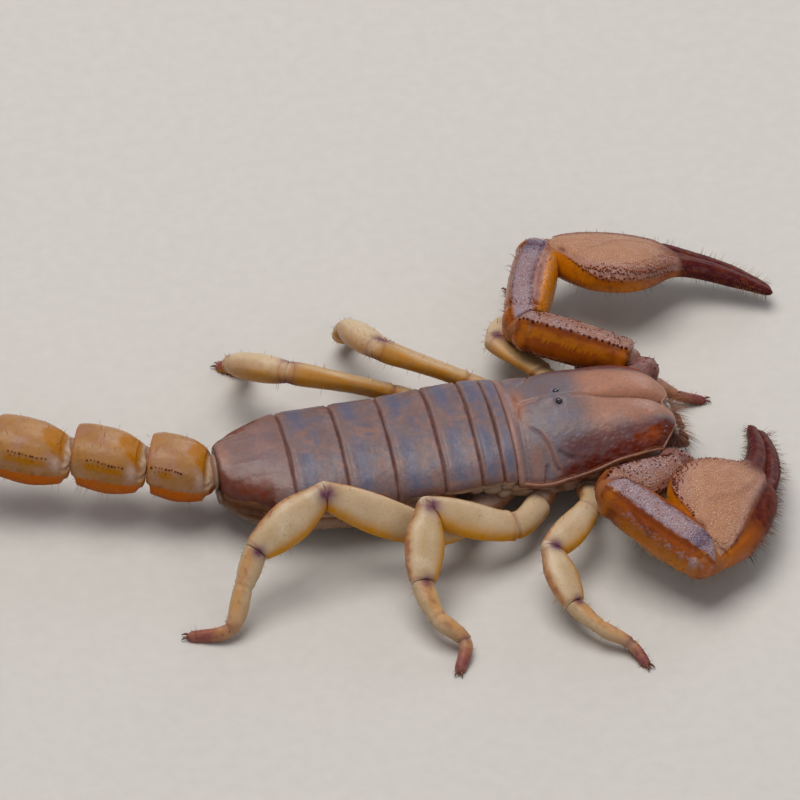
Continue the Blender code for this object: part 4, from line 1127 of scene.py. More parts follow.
def leg_pieces(name, joints):
    """A leg's femur with its trochanter, its patella, its foot, the skin of its joints and its claws."""
    coxa, base, knee, ankle, heel, pad, tip = (Vector(p) for p in joints)
    stout = LEG_STOUTNESS[name[-1]]
    flat = (base - knee).cross(ankle - knee).normalized()
    knee_in = ((ankle - knee).normalized() + (base - knee).normalized()).normalized()
    knee_knots = [(knee + flat * (0.85 * stout * way) + knee_in * 0.05, 0.74 * stout, 1.0) for way in (1, -1)]
    # The pale knob over the knee's upper corner, stronger on the near legs, is partly a painted highlight.
    knee_knots += [(knee - knee_in * (0.8 * stout) + UP * 0.3, 0.65 * stout, -0.8 if knee.y < 0 else -0.45)]
    ankle_knots = [(ankle + flat * (0.7 * stout * way) + knee_in * 0.1, 0.55 * stout, 1.0) for way in (1, -1)]
    base_knots = [(coxa + UP * 0.8, 0.45, 0.5)]

    thigh_place = tube([stretched(base, coxa, 1.0), base, stretched(base, knee, 1.1)], flat,
                       scaled(THIGH_THICKNESS, stout), scaled(THIGH_DEPTH, stout), square=2.3)
    thigh = loft(thigh_place, 84, 44)
    rounded_cut(thigh, coxa, coxa - base)
    rounded_cut(thigh, knee, mitre(base, knee, ankle), lip=JOINT_LIP, gap=0.0)
    detailed(thigh, leg_rule(base, knee, ankle - knee, "femur", knee_knots + base_knots))
    groove = (base - coxa).normalized() + (knee - base).normalized()
    groove.normalize()
    dark = thigh.verts.layers.float["dark"]
    for corner in thigh.verts:
        apart = (corner.co - base).dot(groove)
        corner.co = (corner.co - corner.normal * (0.13 * bell(apart, 0.13))
                     + corner.normal * (0.07 * bell(apart - 0.3, 0.16)))
        corner[dark] += 0.35 * bell(apart, 0.09)
    finished(f"leg_{name}_femur", thigh, LEG, "leg", f"leg_{name}_femur")

    shank_place = tube([stretched(ankle, knee, 1.1), stretched(knee, ankle, 0.8)], flat,
                       scaled(PATELLA_THICKNESS, stout), scaled(PATELLA_DEPTH, stout), square=2.3)
    shank = loft(shank_place, 80, 44)
    rounded_cut(shank, knee, -mitre(base, knee, ankle), lip=JOINT_LIP, gap=0.0)
    rounded_cut(shank, ankle, mitre(knee, ankle, heel), lip=JOINT_LIP, gap=0.0)
    detailed(shank, leg_rule(knee, ankle, base - knee, "patella", knee_knots + ankle_knots))
    finished(f"leg_{name}_patella", shank, LEG, "leg", f"leg_{name}_patella")

    foot_place = tube([stretched(heel, ankle, 0.7), heel, pad, tip], flat, scaled(FOOT_THICKNESS, stout),
                      scaled(FOOT_DEPTH, stout), round_ends=(0.8, 0.5), floor=0.0)
    foot = loft(foot_place, 96, 32)
    rounded_cut(foot, ankle, -mitre(knee, ankle, heel), lip=JOINT_LIP, gap=0.0)
    foot_knots = ankle_knots + [(heel, 0.3, 0.3), (pad + UP * 0.2, 0.5, 0.75), (tip + UP * 0.25, 0.35, 0.5)]
    detailed(foot, leg_rule(ankle, pad, Vector((0, 0, -1)), "foot", foot_knots))
    for joint, before, after in ((heel, ankle, pad), (pad, heel, tip)):
        cross = mitre(before, joint, after).normalized()
        for corner in foot.verts:
            apart = (corner.co - joint).dot(cross)
            sunk = 0.08 * stout * bell(apart, 0.09) - 0.04 * bell(apart + 0.24, 0.13)
            corner.co = corner.co - corner.normal * sunk
            corner.co.z = max(corner.co.z, 0.0)
    finished(f"leg_{name}_tarsus", foot, LEG, "leg", f"leg_{name}_tarsus")

    joints_skin = ball(knee, 0.78 * stout, parts=(24, 16))
    joined(joints_skin, ball(ankle, 0.55 * stout, parts=(20, 14)), ball(coxa, 0.72 * stout, parts=(20, 14)))
    detailed(joints_skin, plain({"dark": 0.35, "cool": 0.6}, 0.02, 0.3))
    finished(f"leg_{name}_joint_skin", joints_skin, MEMBRANE, "leg")
    leg_claws(name, foot_place, flat, pad, tip)
    leg_places[name] = (thigh_place, shank_place, foot_place)


for name, joints in LEGS.items():
    leg_pieces(name, joints)

# Pedipalps. The two arms carry the pincers. Their cuticle is amber and glossy below and on the outer faces,
# and peach or lilac and finely pebbled on the upper faces, which rows of dark grains fence off as keels. The
# lilac is partly a painted sky reflection, and the amber below is partly a painted glow.
PALPS = {
    "right": ((10.9, -4.4, 3.2), (12.0, -6.75, 4.2), (6.2, -10.5, 6.5), (12.4, -16.6, 3.85),
              (20.0, 0.3, 1.4)),
    "left": ((10.9, 4.4, 3.4), (11.5, 6.7, 4.5), (3.8, 10.6, 5.7), (7.3, 20.6, 4.4), (25.0, 16.0, 1.4)),
}
ARM_WIDTH = ((0, 1.3), (0.3, 1.55), (0.7, 1.75), (1, 1.65))
ARM_HEIGHT = ((0, 1.4), (0.5, 1.65), (1, 1.6))
ARM_ROLL = math.radians(26)
FOREARM_WIDTH = ((0, 1.5), (0.3, 1.75), (0.7, 1.85), (1, 1.45))
FOREARM_HEIGHT = ((0, 1.6), (0.4, 1.8), (0.75, 1.8), (1, 1.45))
CHELA_LENGTH = 18.7
CHELA_ROLL = {"right": math.radians(24), "left": math.radians(20)}
CHELA_ARCH = {"right": 1.5, "left": 0.7}
PALM_LENGTH = 10.1
LOBE_ANGLE = math.radians(60)
INNER_EDGE = ((0, -1.0), (1.2, -1.9), (2.4, -3.4), (3.8, -4.7), (5.4, -5.1), (7.2, -4.7), (9.0, -3.2),
              (10.3, -1.3), (11.5, -0.35), (13.2, -0.15), (15.5, -0.25), (17.5, -0.5), (18.7, -0.6))
OUTER_EDGE = ((0, 1.0), (1.2, 1.9), (3.2, 3.0), (6.2, 3.4), (8.6, 3.2), (9.9, 2.5), (10.8, 1.75),
              (13.2, 1.45), (15.5, 1.0), (17.5, 0.4), (18.7, 0.0))
FINGER_INNER = ((8.6, 1.2), (10.3, 1.4), (13.2, 1.2), (15.5, 0.8), (17.5, 0.25), (18.6, 0.0))
FINGER_OUTER = ((8.6, 2.75), (9.6, 2.85), (11.5, 2.8), (13.2, 2.6), (15.5, 2.05), (17.5, 1.25), (18.6, 0.65))
PALM_TOP = ((0, 1.1), (2.5, 1.5), (5.5, 1.65), (8.5, 1.45), (10.8, 0.95), (15, 0.75), (18.7, 0.3))
PALM_BOTTOM = ((0, 1.1), (2.5, 1.6), (6, 1.75), (8.8, 1.45), (11, 0.8), (15, 0.65), (18.7, 0.3))
FINGER_HALF_HEIGHT = ((8.6, 0.9), (10.3, 0.98), (12, 0.85), (15.5, 0.7), (18.7, 0.28))
# Its cool lilac is partly a painted sky reflection on the upper faces, and its warm amber partly a painted
# glow.
ARM = cuticle("arm_cuticle", ((0.24, 0.046, 0.001), (0.33, 0.075, 0.002)),
              {"pale": (0.34, 0.165, 0.105), "cool": (0.33, 0.245, 0.27), "slate": (0.10, 0.085, 0.15),
               "warm": (0.55, 0.19, 0.002), "dark": (0.06, 0.008, 0.006)},
              roughness=0.24, coat=0.12, depth=0.04, shine=0.3,
              net=(4600, (0.16, 0.085, 0.105), ("pale", "cool")))
# Its slate is mostly a painted glint and sheen on the horn, its cool lilac partly a painted sky reflection,
# and its warm amber partly a painted glow below.
PINCER = cuticle("pincer_cuticle", ((0.25, 0.05, 0.001), (0.35, 0.085, 0.002)),
                 {"pale": (0.45, 0.225, 0.115), "cool": (0.29, 0.17, 0.185), "slate": (0.17, 0.17, 0.22),
                  "warm": (0.55, 0.17, 0.002), "dark": (0.055, 0.006, 0.010)},
                 roughness=0.33, coat=0.04, depth=0.04, grain=(3300, 0.35), shine=0.3,
                 net=(4600, (0.27, 0.125, 0.09), ("pale", "cool")))
UPPER_TURN = 1.5 * math.pi
BAND_HALF = {"femur": 0.86, "patella": 0.38}
BAND_BOW = {"right": -0.1, "left": 0.3}
ALL_ROUND = (0, 6.283)
palp_places = {}


def arm_rule(kind, start, end, bow=0.0):
    """Height and colours of an arm's femur or patella: a band between two keels on top, and glossy sides.

    swing is the angle from the middle of the band, which bows sideways by bow between the joints."""
    axis = (end - start).normalized()
    length = (end - start).length
    half = BAND_HALF[kind]

    def rule(along, turn, point, out):
        t = (point - start).dot(axis) / length
        blur, fine = grit(point, 1.6), grit(point, 0.35)
        swing = abs(turn - UPPER_TURN - bow * math.sin(math.pi * min(max(t, 0.0), 1.0)))
        top = 1 - step(swing + 0.03 * fine, half - 0.05, half + 0.06)
        keel = bell(swing - half, 0.09) * step(t, 0.06, 0.16) * (1 - step(t, 0.92, 1.0))
        # Two keels, and a rounded rim with a furrow behind it at each end.
        height = 0.09 * keel + 0.018 * top * fine + 0.02 * blur * (1 - top)
        height += 0.03 * (1 - top) * grit(point, 0.8)
        height += 0.06 * bell(t - 0.05, 0.03) - 0.08 * bell(t - 0.11, 0.03)
        height += 0.06 * bell(t - 0.95, 0.03) - 0.07 * bell(t - 0.89, 0.03)
        ends = bell(t - 0.04, 0.05) + bell(t - 0.96, 0.05)
        # flecks are painted highlights: broken glints along the outer side.
        flecks = bell(swing - 1.15, 0.2) * step(grit(point, 0.22), 0.1, 0.3) * step(t, 0.15, 0.25)
        condyle = bell((swing - 1.2) / 0.3, 1.0) * bell((t - 0.925) / 0.045, 1.0) * (kind == "patella")
        height += 0.05 * bell(swing - 1.2, 0.35) * grit(point, 0.3) + 0.14 * condyle
        condyle = step(condyle + 0.1 * fine, 0.2, 0.5)
        # Amber glows through the sides, most of all through one side of the left forearm.
        glow = bell(swing - 1.75, 0.45) * step(t, 0.1, 0.3) * (1 - step(t, 0.85, 0.98))
        if bow > 0 and turn < UPPER_TURN:
            glow = max(glow, step(swing, half + 0.3, half + 0.45) * (1 - step(t, 0.9, 1.0)))
        # The downward faces are darkened as painted shade, and the lilac on top is partly a painted sky
        # reflection.
        marks = {"dark": max(0.8 * keel * step(fine, -0.3, 0.3),
                             0.6 * step(-out.z, 0.5, 0.95) * (1 - top),
                             0.55 * bell(swing - half - 0.2, 0.12),
                             0.5 * step(grit(point, 0.9), 0.1, 0.5) * (1 - top) * (1 - glow)),
                 "warm": 0.3 * ends * (1 - top) + 0.75 * glow}
        if kind == "femur":
            marks["pale"] = 0.95 * top
            marks["cool"] = 0.35 * top * step(blur, -0.1, 0.4)
        else:
            marks["cool"] = max(0.95 * top, 0.8 * flecks, 0.9 * condyle)
            marks["pale"] = 0.25 * top * step(fine, 0.1, 0.5)
            marks["dark"] = max(marks["dark"] * (1 - condyle), 0.7 * top * bell(t - 0.9 - 0.02 * fine, 0.014))
            marks["slate"] = max(0.95 * top * step(t, 0.68, 0.88) * (1 - step(t, 0.93, 0.97)),
                                 0.5 * keel * top)
        return height, marks

    return rule


def chela_frame(side, wrist, tip):
    """The pincer's own frame: X outward, Y from the wrist to the fingertips, Z out of its upper face."""
    along = (tip - wrist).normalized()
    outward = along.cross(UP) * (1 if side == "right" else -1)
    outward.normalize()
    over = outward.cross(along) * (1 if side == "right" else -1)
    roll = CHELA_ROLL[side]
    lean = outward * math.cos(roll) - over * math.sin(roll)
    over = over * math.cos(roll) + outward * math.sin(roll)
    return Matrix.Translation(wrist) @ Matrix((lean, along, over)).transposed().to_4x4()


def chela_place(hand, arch, reach, inner, outer, top, bottom):
    """The skin of a piece of the pincer between two edges given as (distance from the wrist, place) keys."""

    def place(s, angle):
        t = (1 - math.cos(math.pi * s)) / 2
        y = reach[0] + (reach[1] - reach[0]) * t
        low, high = smooth(inner, y), smooth(outer, y)
        near_end = min(y - reach[0], reach[1] - y)
        swell = math.sqrt(max(0.0, 1 - max(0.0, 1 - near_end / 0.7) ** 2))
        tall = smooth(top if angle < math.pi else bottom, y)
        x, z = ring(angle, (high - low) / 2 * swell, tall * swell, 2.5)
        lift = arch * math.sin(math.pi * min(max(y, 0.0) / CHELA_LENGTH, 1))
        return hand @ Vector(((low + high) / 2 + x, y, lift + z))

    return place


def share_at(reach, y):
    """The s of a pincer piece at this distance from the wrist."""
    return math.acos(1 - 2 * min(max((y - reach[0]) / (reach[1] - reach[0]), 0), 1)) / math.pi


PALM_REACH = (-0.9, CHELA_LENGTH)
FINGER_REACH = (8.6, CHELA_LENGTH - 0.1)
PALM_KEELS = {"right": (1.14, 2.93), "left": (0.97, 3.07)}
# Rows of grains on the palm: their turn, first and last distance from the wrist, count, size and tint.
PALM_ROWS = ((2.8, 3.4, 9.9, 42, 0.095, 0.55), (2.68, 3.8, 10.1, 38, 0.085, 0.45),
             (2.54, 4.6, 10.3, 34, 0.07, 0.32), (2.38, 6.2, 10.4, 24, 0.06, 0.28),
             (2.2, 7.8, 10.5, 16, 0.06, 0.32), (2.0, 8.8, 10.6, 12, 0.06, 0.36),
             (1.8, 9.4, 10.7, 9, 0.055, 0.36), (1.6, 9.8, 10.8, 7, 0.05, 0.32))
WRIST_DIP = ((0.0, 0.62), (1.8, 0.55), (3.2, 0.25), (4.6, 0.0))
SECOND_KEEL = ((3.0, 2.05), (3.6, 1.85), (5.7, 1.475), (8.3, 1.37), (9.8, 1.38), (10.6, 1.5))


def chela_rule(hand, keels, finger):
    """Height and colours of a piece of the pincer. keels are the angles of its outer and inner rows."""
    home = hand.inverted()
    turned_home = home.to_3x3()

    def rule(along, turn, point, out):
        here = home @ point
        x, y = here.x, here.y
        rise = (turned_home @ out).z
        blur, fine = grit(point, 1.5), grit(point, 0.3)
        past_outer = turn - keels[0]
        past_inner = turn - keels[1] + (0.0 if finger else smooth(WRIST_DIP, y))
        # The pebbled top lies between the two keels, and black-red horn takes over towards the fingers.
        top = step(past_outer, -0.05, 0.03) * (1 - step(past_inner, -0.02, 0.06))
        horn = step(y + 0.5 * blur + 0.3 * fine, 8.2, 11.4) * step(x + 0.2 * blur, -1.2, 0.6)
        horn = 1.0 if finger else min(horn + step(y, 10.6, 12.4), 1.0)
        speckled = step(y + 0.25 * abs(x), 7.0, 11.0) * (1 - horn)
        inner_keel = bell(past_inner, 0.07) * step(y, 1.6, 2.6)
        outer_keel = bell(past_outer, 0.065) * step(y, 0.6, 1.6) * (1 - 0.6 * step(y, 9, 10.5))
        second = bell(turn - smooth(SECOND_KEEL, y), 0.05) * step(y, 2.9, 4.0) * (1 - step(y, 10.2, 10.8))
        height = 0.02 * fine * top + 0.02 * blur
        height += 0.07 * inner_keel + 0.13 * outer_keel + 0.05 * second - 0.06 * bell(past_outer + 0.16, 0.1)
        rough = top * step(turn, 2.1, 2.8) * step(y, 3, 5)
        height += 0.05 * rough * grit(point, 0.22) - 0.1 * bell(y - 0.75, 0.2)
        # Past the outer keel the palm is dark, and past the inner one amber, which is partly the cuticle's
        # own and partly a painted glow on the shaded underside.
        beyond = 1 - step(past_outer, -0.1, 0.0)
        if turn > math.pi:
            beyond = step(turn, 1.6 * math.pi, 1.8 * math.pi)
        # ridge is the horn's up-facing side, which carries a painted bluish sheen, glint is a painted
        # highlight along the fixed finger's inner face, and the lilac on the top is partly a painted sky
        # reflection.
        ridge = 0.5 * step(rise, 0.72, 0.98)
        glint = bell(turn - 2.75, 0.16) * step(y, 10.4, 11.6) * (1 - step(y, 15, 17)) * (not finger)
        maroon = 0.5 * horn * (1 - ridge) * step(-x, -0.9, 0.6) * (1 - step(y, 15, 18))
        knob = bell(y - 0.75, 0.3) * bell(turn - 1.75, 0.3)
        marks = {"pale": max(0.97 * top * (1 - horn) * (1 - 0.2 * speckled), 0.9 * knob),
                 "cool": max(0.75 * top * step(turn, 2.1, 2.8) * (1 - horn),
                             0.3 * top * bell(past_outer - 0.1, 0.12),
                             0.65 * top * step(y, 8.0, 10.3) * step(turn, 1.5, 2.0) * (1 - horn),
                             0.18 * horn * ridge),
                 "slate": max(0.7 * glint, 0.25 * horn * ridge, 0.5 * outer_keel * step(y, 4, 8)),
                 "warm": (0.2 * (1 - top) * step(blur, 0, 0.5) * (1 - horn) * (1 - beyond)
                          + 0.5 * bell(y - 0.6, 0.5) * (1 - top)
                          + 0.95 * bell(past_inner - 0.6, 0.55) * (1 - horn) * (1 - step(y, 7, 10))),
                 "dark": max(1.25 * horn * (1 - 0.06 * ridge) * (1 - 0.1 * maroon),
                             0.8 * outer_keel * (1 - 0.3 * fine),
                             0.35 * inner_keel * step(fine, -0.1, 0.3), 0.3 * rough * step(fine, -0.1, 0.4),
                             0.28 * second * (1 - 0.4 * fine), 0.9 * beyond * step(y + blur, 1.2, 5.2),
                             0.45 * speckled * step(fine, -0.2, 0.3),
                             0.8 * bell(y - 0.5, 0.16) * bell(turn - 1.2, 0.5),
                             0.9 * bell(y - 1.6, 0.3) * bell(turn - 2.25, 0.16))}
        return height, marks

    return rule


def hip_rule(along, turn, point, out):
    lit = step(out.z, 0.1, 0.7)
    # It is darker below as painted shade, and paler with a lilac sheen on its up-facing top as painted light.
    return (0.08 * grit(point, 0.9) + 0.03 * grit(point, 0.35),
            {"cool": 0.3 * lit, "pale": 0.42 * lit,
             "dark": 0.75 - 0.3 * step(out.z, 0, 0.8) + 0.25 * grit(point, 0.6)})


def strewn(body, place, count, along, half_turns, sizes, tints, chance):
    """Loose grains over part of a skin, between these shares of its length and half turns round it."""
    for _ in range(count):
        point, out = footing(place, chance.uniform(*along), math.pi * chance.uniform(*half_turns))
        grain(body, point, out, chance.uniform(*sizes), {"dark": chance.uniform(*tints)})


def toothed(body, place, reach, first, length, count, edge, waver):
    """A row of small teeth along a finger's biting edge, every seventh of them larger."""
    for i in range(count):
        s = share_at(reach, first + length * i / (count - 1))
        point, out = footing(place, s, edge + 0.06 * math.sin(i * waver))
        grain(body, point, out, 0.1 if i % 7 == 0 else 0.06, {"dark": 1.0})


chance = random.Random(5)
for side, joints in PALPS.items():
    coxa, shoulder, elbow, wrist, tip = (Vector(p) for p in joints)
    arm = (elbow - shoulder).normalized()
    hand = chela_frame(side, wrist, tip)
    arch = CHELA_ARCH[side]
    bow = BAND_BOW[side]
    outer_turn, inner_turn = PALM_KEELS[side]

    hip_place = tube([coxa, coxa.lerp(shoulder, 0.5) + Vector((0.9, 0, 0)), shoulder + Vector((0.6, 0, 0))],
                     UP, ((0, 1.3), (0.6, 1.45), (1, 1.3)), ((0, 1.2), (0.6, 1.45), (1, 1.3)))
    hip = loft(hip_place, 64, 52)
    rounded_cut(hip, shoulder, arm)
    detailed(hip, hip_rule)
    for _ in range(26):
        point, out = footing(hip_place, chance.uniform(0.35, 0.75), chance.uniform(*ALL_ROUND))
        if out.z > 0.1:
            grain(hip, point, out, chance.uniform(0.06, 0.11), {"dark": 0.9})
    finished(f"pedipalp_{side}_trochanter", hip, ARM, "limb", f"pedipalp_{side}_trochanter")

    leaning = Matrix.Rotation(ARM_ROLL * (-1 if side == "right" else 1), 3, arm) @ UP.cross(arm)
    upper_place = tube([stretched(elbow, shoulder, 0.6), stretched(shoulder, elbow, 0.8)], leaning, ARM_WIDTH,
                       ARM_HEIGHT, square=2.8)
    upper = loft(upper_place, 100, 88)
    rounded_cut(upper, shoulder, -arm)
    rounded_cut(upper, elbow, mitre(shoulder, elbow, wrist))
    detailed(upper, arm_rule("femur", shoulder, elbow))
    for turn, reach, count, size, tint in (
            (UPPER_TURN - 0.84, (0.2, 0.84), 21, 0.15, 1.0), (UPPER_TURN + 0.84, (0.2, 0.84), 21, 0.15, 1.0),
            (0.25 * math.pi, (0.25, 0.82), 16, 0.09, 0.8), (0.75 * math.pi, (0.25, 0.82), 16, 0.09, 0.8)):
        grain_row(upper, upper_place, reach, turn, count, size, {"dark": tint}, chance, 0.05)
    strewn(upper, upper_place, 110, (0.18, 0.82), (1.3, 1.7), (0.035, 0.075), (0.5, 1.0), chance)
    finished(f"pedipalp_{side}_femur", upper, ARM, "limb", f"pedipalp_{side}_femur")

    fore_place = tube([stretched(wrist, elbow, 0.9), stretched(elbow, wrist, 0.9)], UP.cross(wrist - elbow),
                      FOREARM_WIDTH, FOREARM_HEIGHT, square=2.6)
    fore = loft(fore_place, 110, 92)
    rounded_cut(fore, elbow, -mitre(shoulder, elbow, wrist))
    rounded_cut(fore, wrist, mitre(elbow, wrist, hand @ Vector((0, PALM_LENGTH, arch))))
    detailed(fore, arm_rule("patella", elbow, wrist, bow))
    for half in (-BAND_HALF["patella"], BAND_HALF["patella"]):
        grain_row(fore, fore_place, (0.2, 0.8), lambda s: UPPER_TURN + half + bow * math.sin(math.pi * s),
                  34, 0.07, {"dark": 0.9, "slate": 0.5}, chance, 0.05)
    strewn(fore, fore_place, 90, (0.18, 0.85), (1.35, 1.65), (0.025, 0.05), (0.3, 0.9), chance)
    finished(f"pedipalp_{side}_patella", fore, ARM, "limb", f"pedipalp_{side}_patella")

    palm_place = chela_place(hand, arch, PALM_REACH, INNER_EDGE, OUTER_EDGE, PALM_TOP, PALM_BOTTOM)
    palm = loft(palm_place, 210, 132)
    rounded_cut(palm, wrist, hand.to_3x3() @ Vector((-math.cos(LOBE_ANGLE), -math.sin(LOBE_ANGLE), 0)))
    detailed(palm, chela_rule(hand, PALM_KEELS[side], False))

    def inner_row(s):
        """The turn of the inner keel, which dips below the palm's edge near the wrist."""
        y = PALM_REACH[0] + (PALM_REACH[1] - PALM_REACH[0]) * (1 - math.cos(math.pi * s)) / 2
        return inner_turn - smooth(WRIST_DIP, y)

    for turn, first, last, count, size, tint in (
            (inner_row, 2.2, 10.4, 44, 0.11, 0.75), *PALM_ROWS, (outer_turn, 1.0, 9.8, 44, 0.085, 0.8)):
        reach = (share_at(PALM_REACH, first), share_at(PALM_REACH, last))
        grain_row(palm, palm_place, reach, turn, count, size, {"dark": tint}, chance, 0.07)
    toothed(palm, palm_place, PALM_REACH, 10.9, 7.4, 42, 0.0, 1.7)
    finished(f"pedipalp_{side}_chela", palm, PINCER, "limb", f"pedipalp_{side}_chela")

    finger_place = chela_place(hand, arch, FINGER_REACH, FINGER_INNER, FINGER_OUTER, FINGER_HALF_HEIGHT,
                               FINGER_HALF_HEIGHT)
    finger = loft(finger_place, 130, 60)
    detailed(finger, chela_rule(hand, PALM_KEELS[side], True))
    toothed(finger, finger_place, FINGER_REACH, 11.2, 7.0, 40, math.pi, 1.9)
    for turn in (0.7, 5.6):
        grain_row(finger, finger_place, (0.35, 0.85), turn, 26, 0.06, {"dark": 1.0}, chance, 0.06)
    finished(f"pedipalp_{side}_finger", finger, PINCER, "limb", f"pedipalp_{side}_finger")

    def knuckle_rule(along, turn, point, out):
        amber = 0.7 * (1 - bell((point - shoulder).length, 2.5))
        return 0.03 * grit(point, 0.4), {"warm": amber, "dark": 0.3, "cool": 0.3}

    knuckles = ball(elbow, 1.3, parts=(30, 20))
    joined(knuckles, ball(wrist, 1.1, parts=(30, 20)), ball(shoulder, 0.9, parts=(30, 20)))
    finished(f"pedipalp_{side}_joint_skin", detailed(knuckles, knuckle_rule), MEMBRANE, "limb")
    palp_places[side] = {"upper": upper_place, "fore": fore_place, "palm": palm_place,
                         "finger": finger_place, "hip": hip_place}

# Mouth pincers. A pair of short chelicerae comes out under the carapace's front edge, each a dark brown bulb
# with one fixed and one moving finger, both dark-tipped and toothed.
# Its cool is a painted sheen on the upper faces, and its pale a painted glint along the front edge.
MOUTH = cuticle("mouth_cuticle", ((0.10, 0.032, 0.03), (0.15, 0.055, 0.055)),
                {"cool": (0.14, 0.075, 0.10), "warm": (0.24, 0.08, 0.015), "dark": (0.03, 0.008, 0.008),
                 "pale": (0.60, 0.52, 0.38)}, roughness=0.33, coat=0.2, depth=0.05)
mouth_places = {}


def mouth_rule(along, turn, point, out):
    """A dark mesh over purple-brown, a painted lilac sheen on the upper faces, and a painted glint along the
    front edge.
    """
    weave = math.sin(point.x * 8 + 2 * grit(point, 0.6)) * math.sin(point.y * 9 + 2 * grit(point, 0.5))
    return (0.02 * grit(point, 0.4),
            {"cool": 0.6 * step(out.z, 0, 0.8),
             "dark": 0.3 * bell(weave, 0.3) + 0.5 * bell(along - 0.95, 0.12),
             "pale": 0.8 * bell(point.x - 13.35, 0.16) * step(out.z, 0.1, 0.7)})


def fang_rule(along, turn, point, out):
    return 0.01 * grit(point, 0.3), {"dark": 0.95 * step(along, 0.45, 0.8), "warm": 0.5}


# For the fixed and the moving finger: root, tip, thickness, bend, and how far aside its teeth stand and
# reach.
MOUTH_FINGERS = (((13.1, 0.62, 2.9), (14.5, 0.7, 2.0), 0.42, 0.0, 0.2, 0.26),
                 ((13.1, 1.75, 2.85), (14.45, 1.05, 1.9), 0.4, 0.22, -0.16, -0.26))

for side, way in SIDES:
    place = tube([(11.2, 1.15 * way, 3.5), (13.9, 1.2 * way, 3.15)], LEFT,
                 ((0, 1.0), (0.6, 1.02), (1, 0.85)), ((0, 1.1), (0.6, 1.15), (1, 0.9)), square=2.4,
                 round_ends=(1.2, 1.3))
    mouth_places[side] = place
    bulb = detailed(loft(place, 70, 52), mouth_rule)
    for root, tip, thick, bend, stand, reach in MOUTH_FINGERS:
        root, tip = Vector(root) * Vector((1, way, 1)), Vector(tip) * Vector((1, way, 1))
        middle = root.lerp(tip, 0.55) + Vector((0.15, bend * way, 0.18))
        fang = tube([root, middle, tip], LEFT, ((0, thick), (0.6, thick * 0.7), (1, thick * 0.22)),
                    ((0, thick), (0.6, thick * 0.75), (1, thick * 0.25)), square=2.1, round_ends=(0.5, 0.15))
        joined(bulb, detailed(loft(fang, 40, 24), fang_rule))
        for i in range(3):
            at = root.lerp(tip, 0.45 + 0.17 * i) + Vector((0, stand * way, 0.05))
            spine(bulb, at, at + Vector((0.05, reach * way, -0.05)), 0.09, lambda along: {"dark": 1.0})
    finished("chelicera_" + side, bulb, MOUTH, "limb", "chelicera_" + side)

# Bristles. Fine stiff hairs feel the ground and the air: a fringe on the pincers and fingers, tufts under the
# mouth pincers, and a thin scatter on legs, tail and sting. Each is one bent spike rooted in the cuticle.
PATCH = 0.003
ROOT_DEPTH = 0.06
LOWEST, HIGHEST = 0.05, 18.5


def bristle_finish(name, *tones):
    return cuticle(name, tones, {}, roughness=0.45, coat=0.0, grain=(2000, 0.05))


HAIR = bristle_finish("pale_bristle", (0.30, 0.15, 0.06), (0.38, 0.21, 0.10))
DARK_HAIR = bristle_finish("brown_bristle", (0.10, 0.04, 0.02), (0.20, 0.09, 0.045))
MOUTH_HAIR = bristle_finish("russet_bristle", (0.20, 0.075, 0.04), (0.30, 0.13, 0.075))


def hairs():
    """An empty coat, whose corners remember the place of their hair's root on the unwrapped skin."""
    body = bmesh.new()
    for layer in ("patch_u", "patch_v"):
        body.verts.layers.float.new(layer)
    return body


def bristle(coat, root, out, lean, length, patch, thick=0.028):
    """One hair that leaves the skin along out and bends over by lean at its tip."""
    patch_u, patch_v = coat.verts.layers.float["patch_u"], coat.verts.layers.float["patch_v"]
    side = out.orthogonal().normalized()
    other = out.cross(side)
    made = bmesh.ops.create_grid(coat, x_segments=3, y_segments=3, size=1.0)["verts"]
    for corner in made:
        s, turn = (corner.co.x + 1) / 2, (corner.co.y + 1) * math.pi
        corner[patch_u] = patch[0] + PATCH * (s - 0.5)
        corner[patch_v] = patch[1] + PATCH * (turn / math.tau - 0.5)
        reach = thick * (1 - s) ** 0.7
        centre = root - out * ROOT_DEPTH + out * (length * s) + lean * (length * s * s)
        centre.z = min(max(centre.z, LOWEST), HIGHEST)
        corner.co = centre + side * (reach * math.cos(turn)) + other * (reach * math.sin(turn))


def scatter(coat, place, strip, count, along, around, length, lean, chance, thick=0.028, tilt=0.25):
    """Hairs over part of a skin. strip is this skin's column of the unwrap and the number of columns."""
    for _ in range(count):
        s, angle = chance.uniform(*along), chance.uniform(*around)
        root, out = footing(place, s, angle)
        ahead = (place(min(s + 0.01, 1), angle) - place(max(s - 0.01, 0), angle)).normalized()
        out = out + ahead * chance.uniform(0, tilt) + Vector([chance.uniform(-0.12, 0.12) for _ in range(3)])
        patch = ((strip[0] + 0.05 + 0.9 * s) / strip[1], 0.03 + 0.94 * (angle % math.tau) / math.tau)
        bristle(coat, root, out.normalized(), lean, length * chance.uniform(0.55, 1.1), patch, thick)


def grown(name, coat, finish, slot):
    """The coat as one object, with each hair's patch in its OFBake map."""
    bmesh.ops.remove_doubles(coat, verts=coat.verts, dist=WELD)
    bmesh.ops.holes_fill(coat, edges=coat.edges, sides=0)
    bmesh.ops.recalc_face_normals(coat, faces=coat.faces)
    patch_u, patch_v = coat.verts.layers.float["patch_u"], coat.verts.layers.float["patch_v"]
    flat = coat.loops.layers.uv.new("OFBake")
    for face in coat.faces:
        for loop in face.loops:
            loop[flat].uv = (loop.vert[patch_u], loop.vert[patch_v])
    return finished(name, coat, finish, slot)


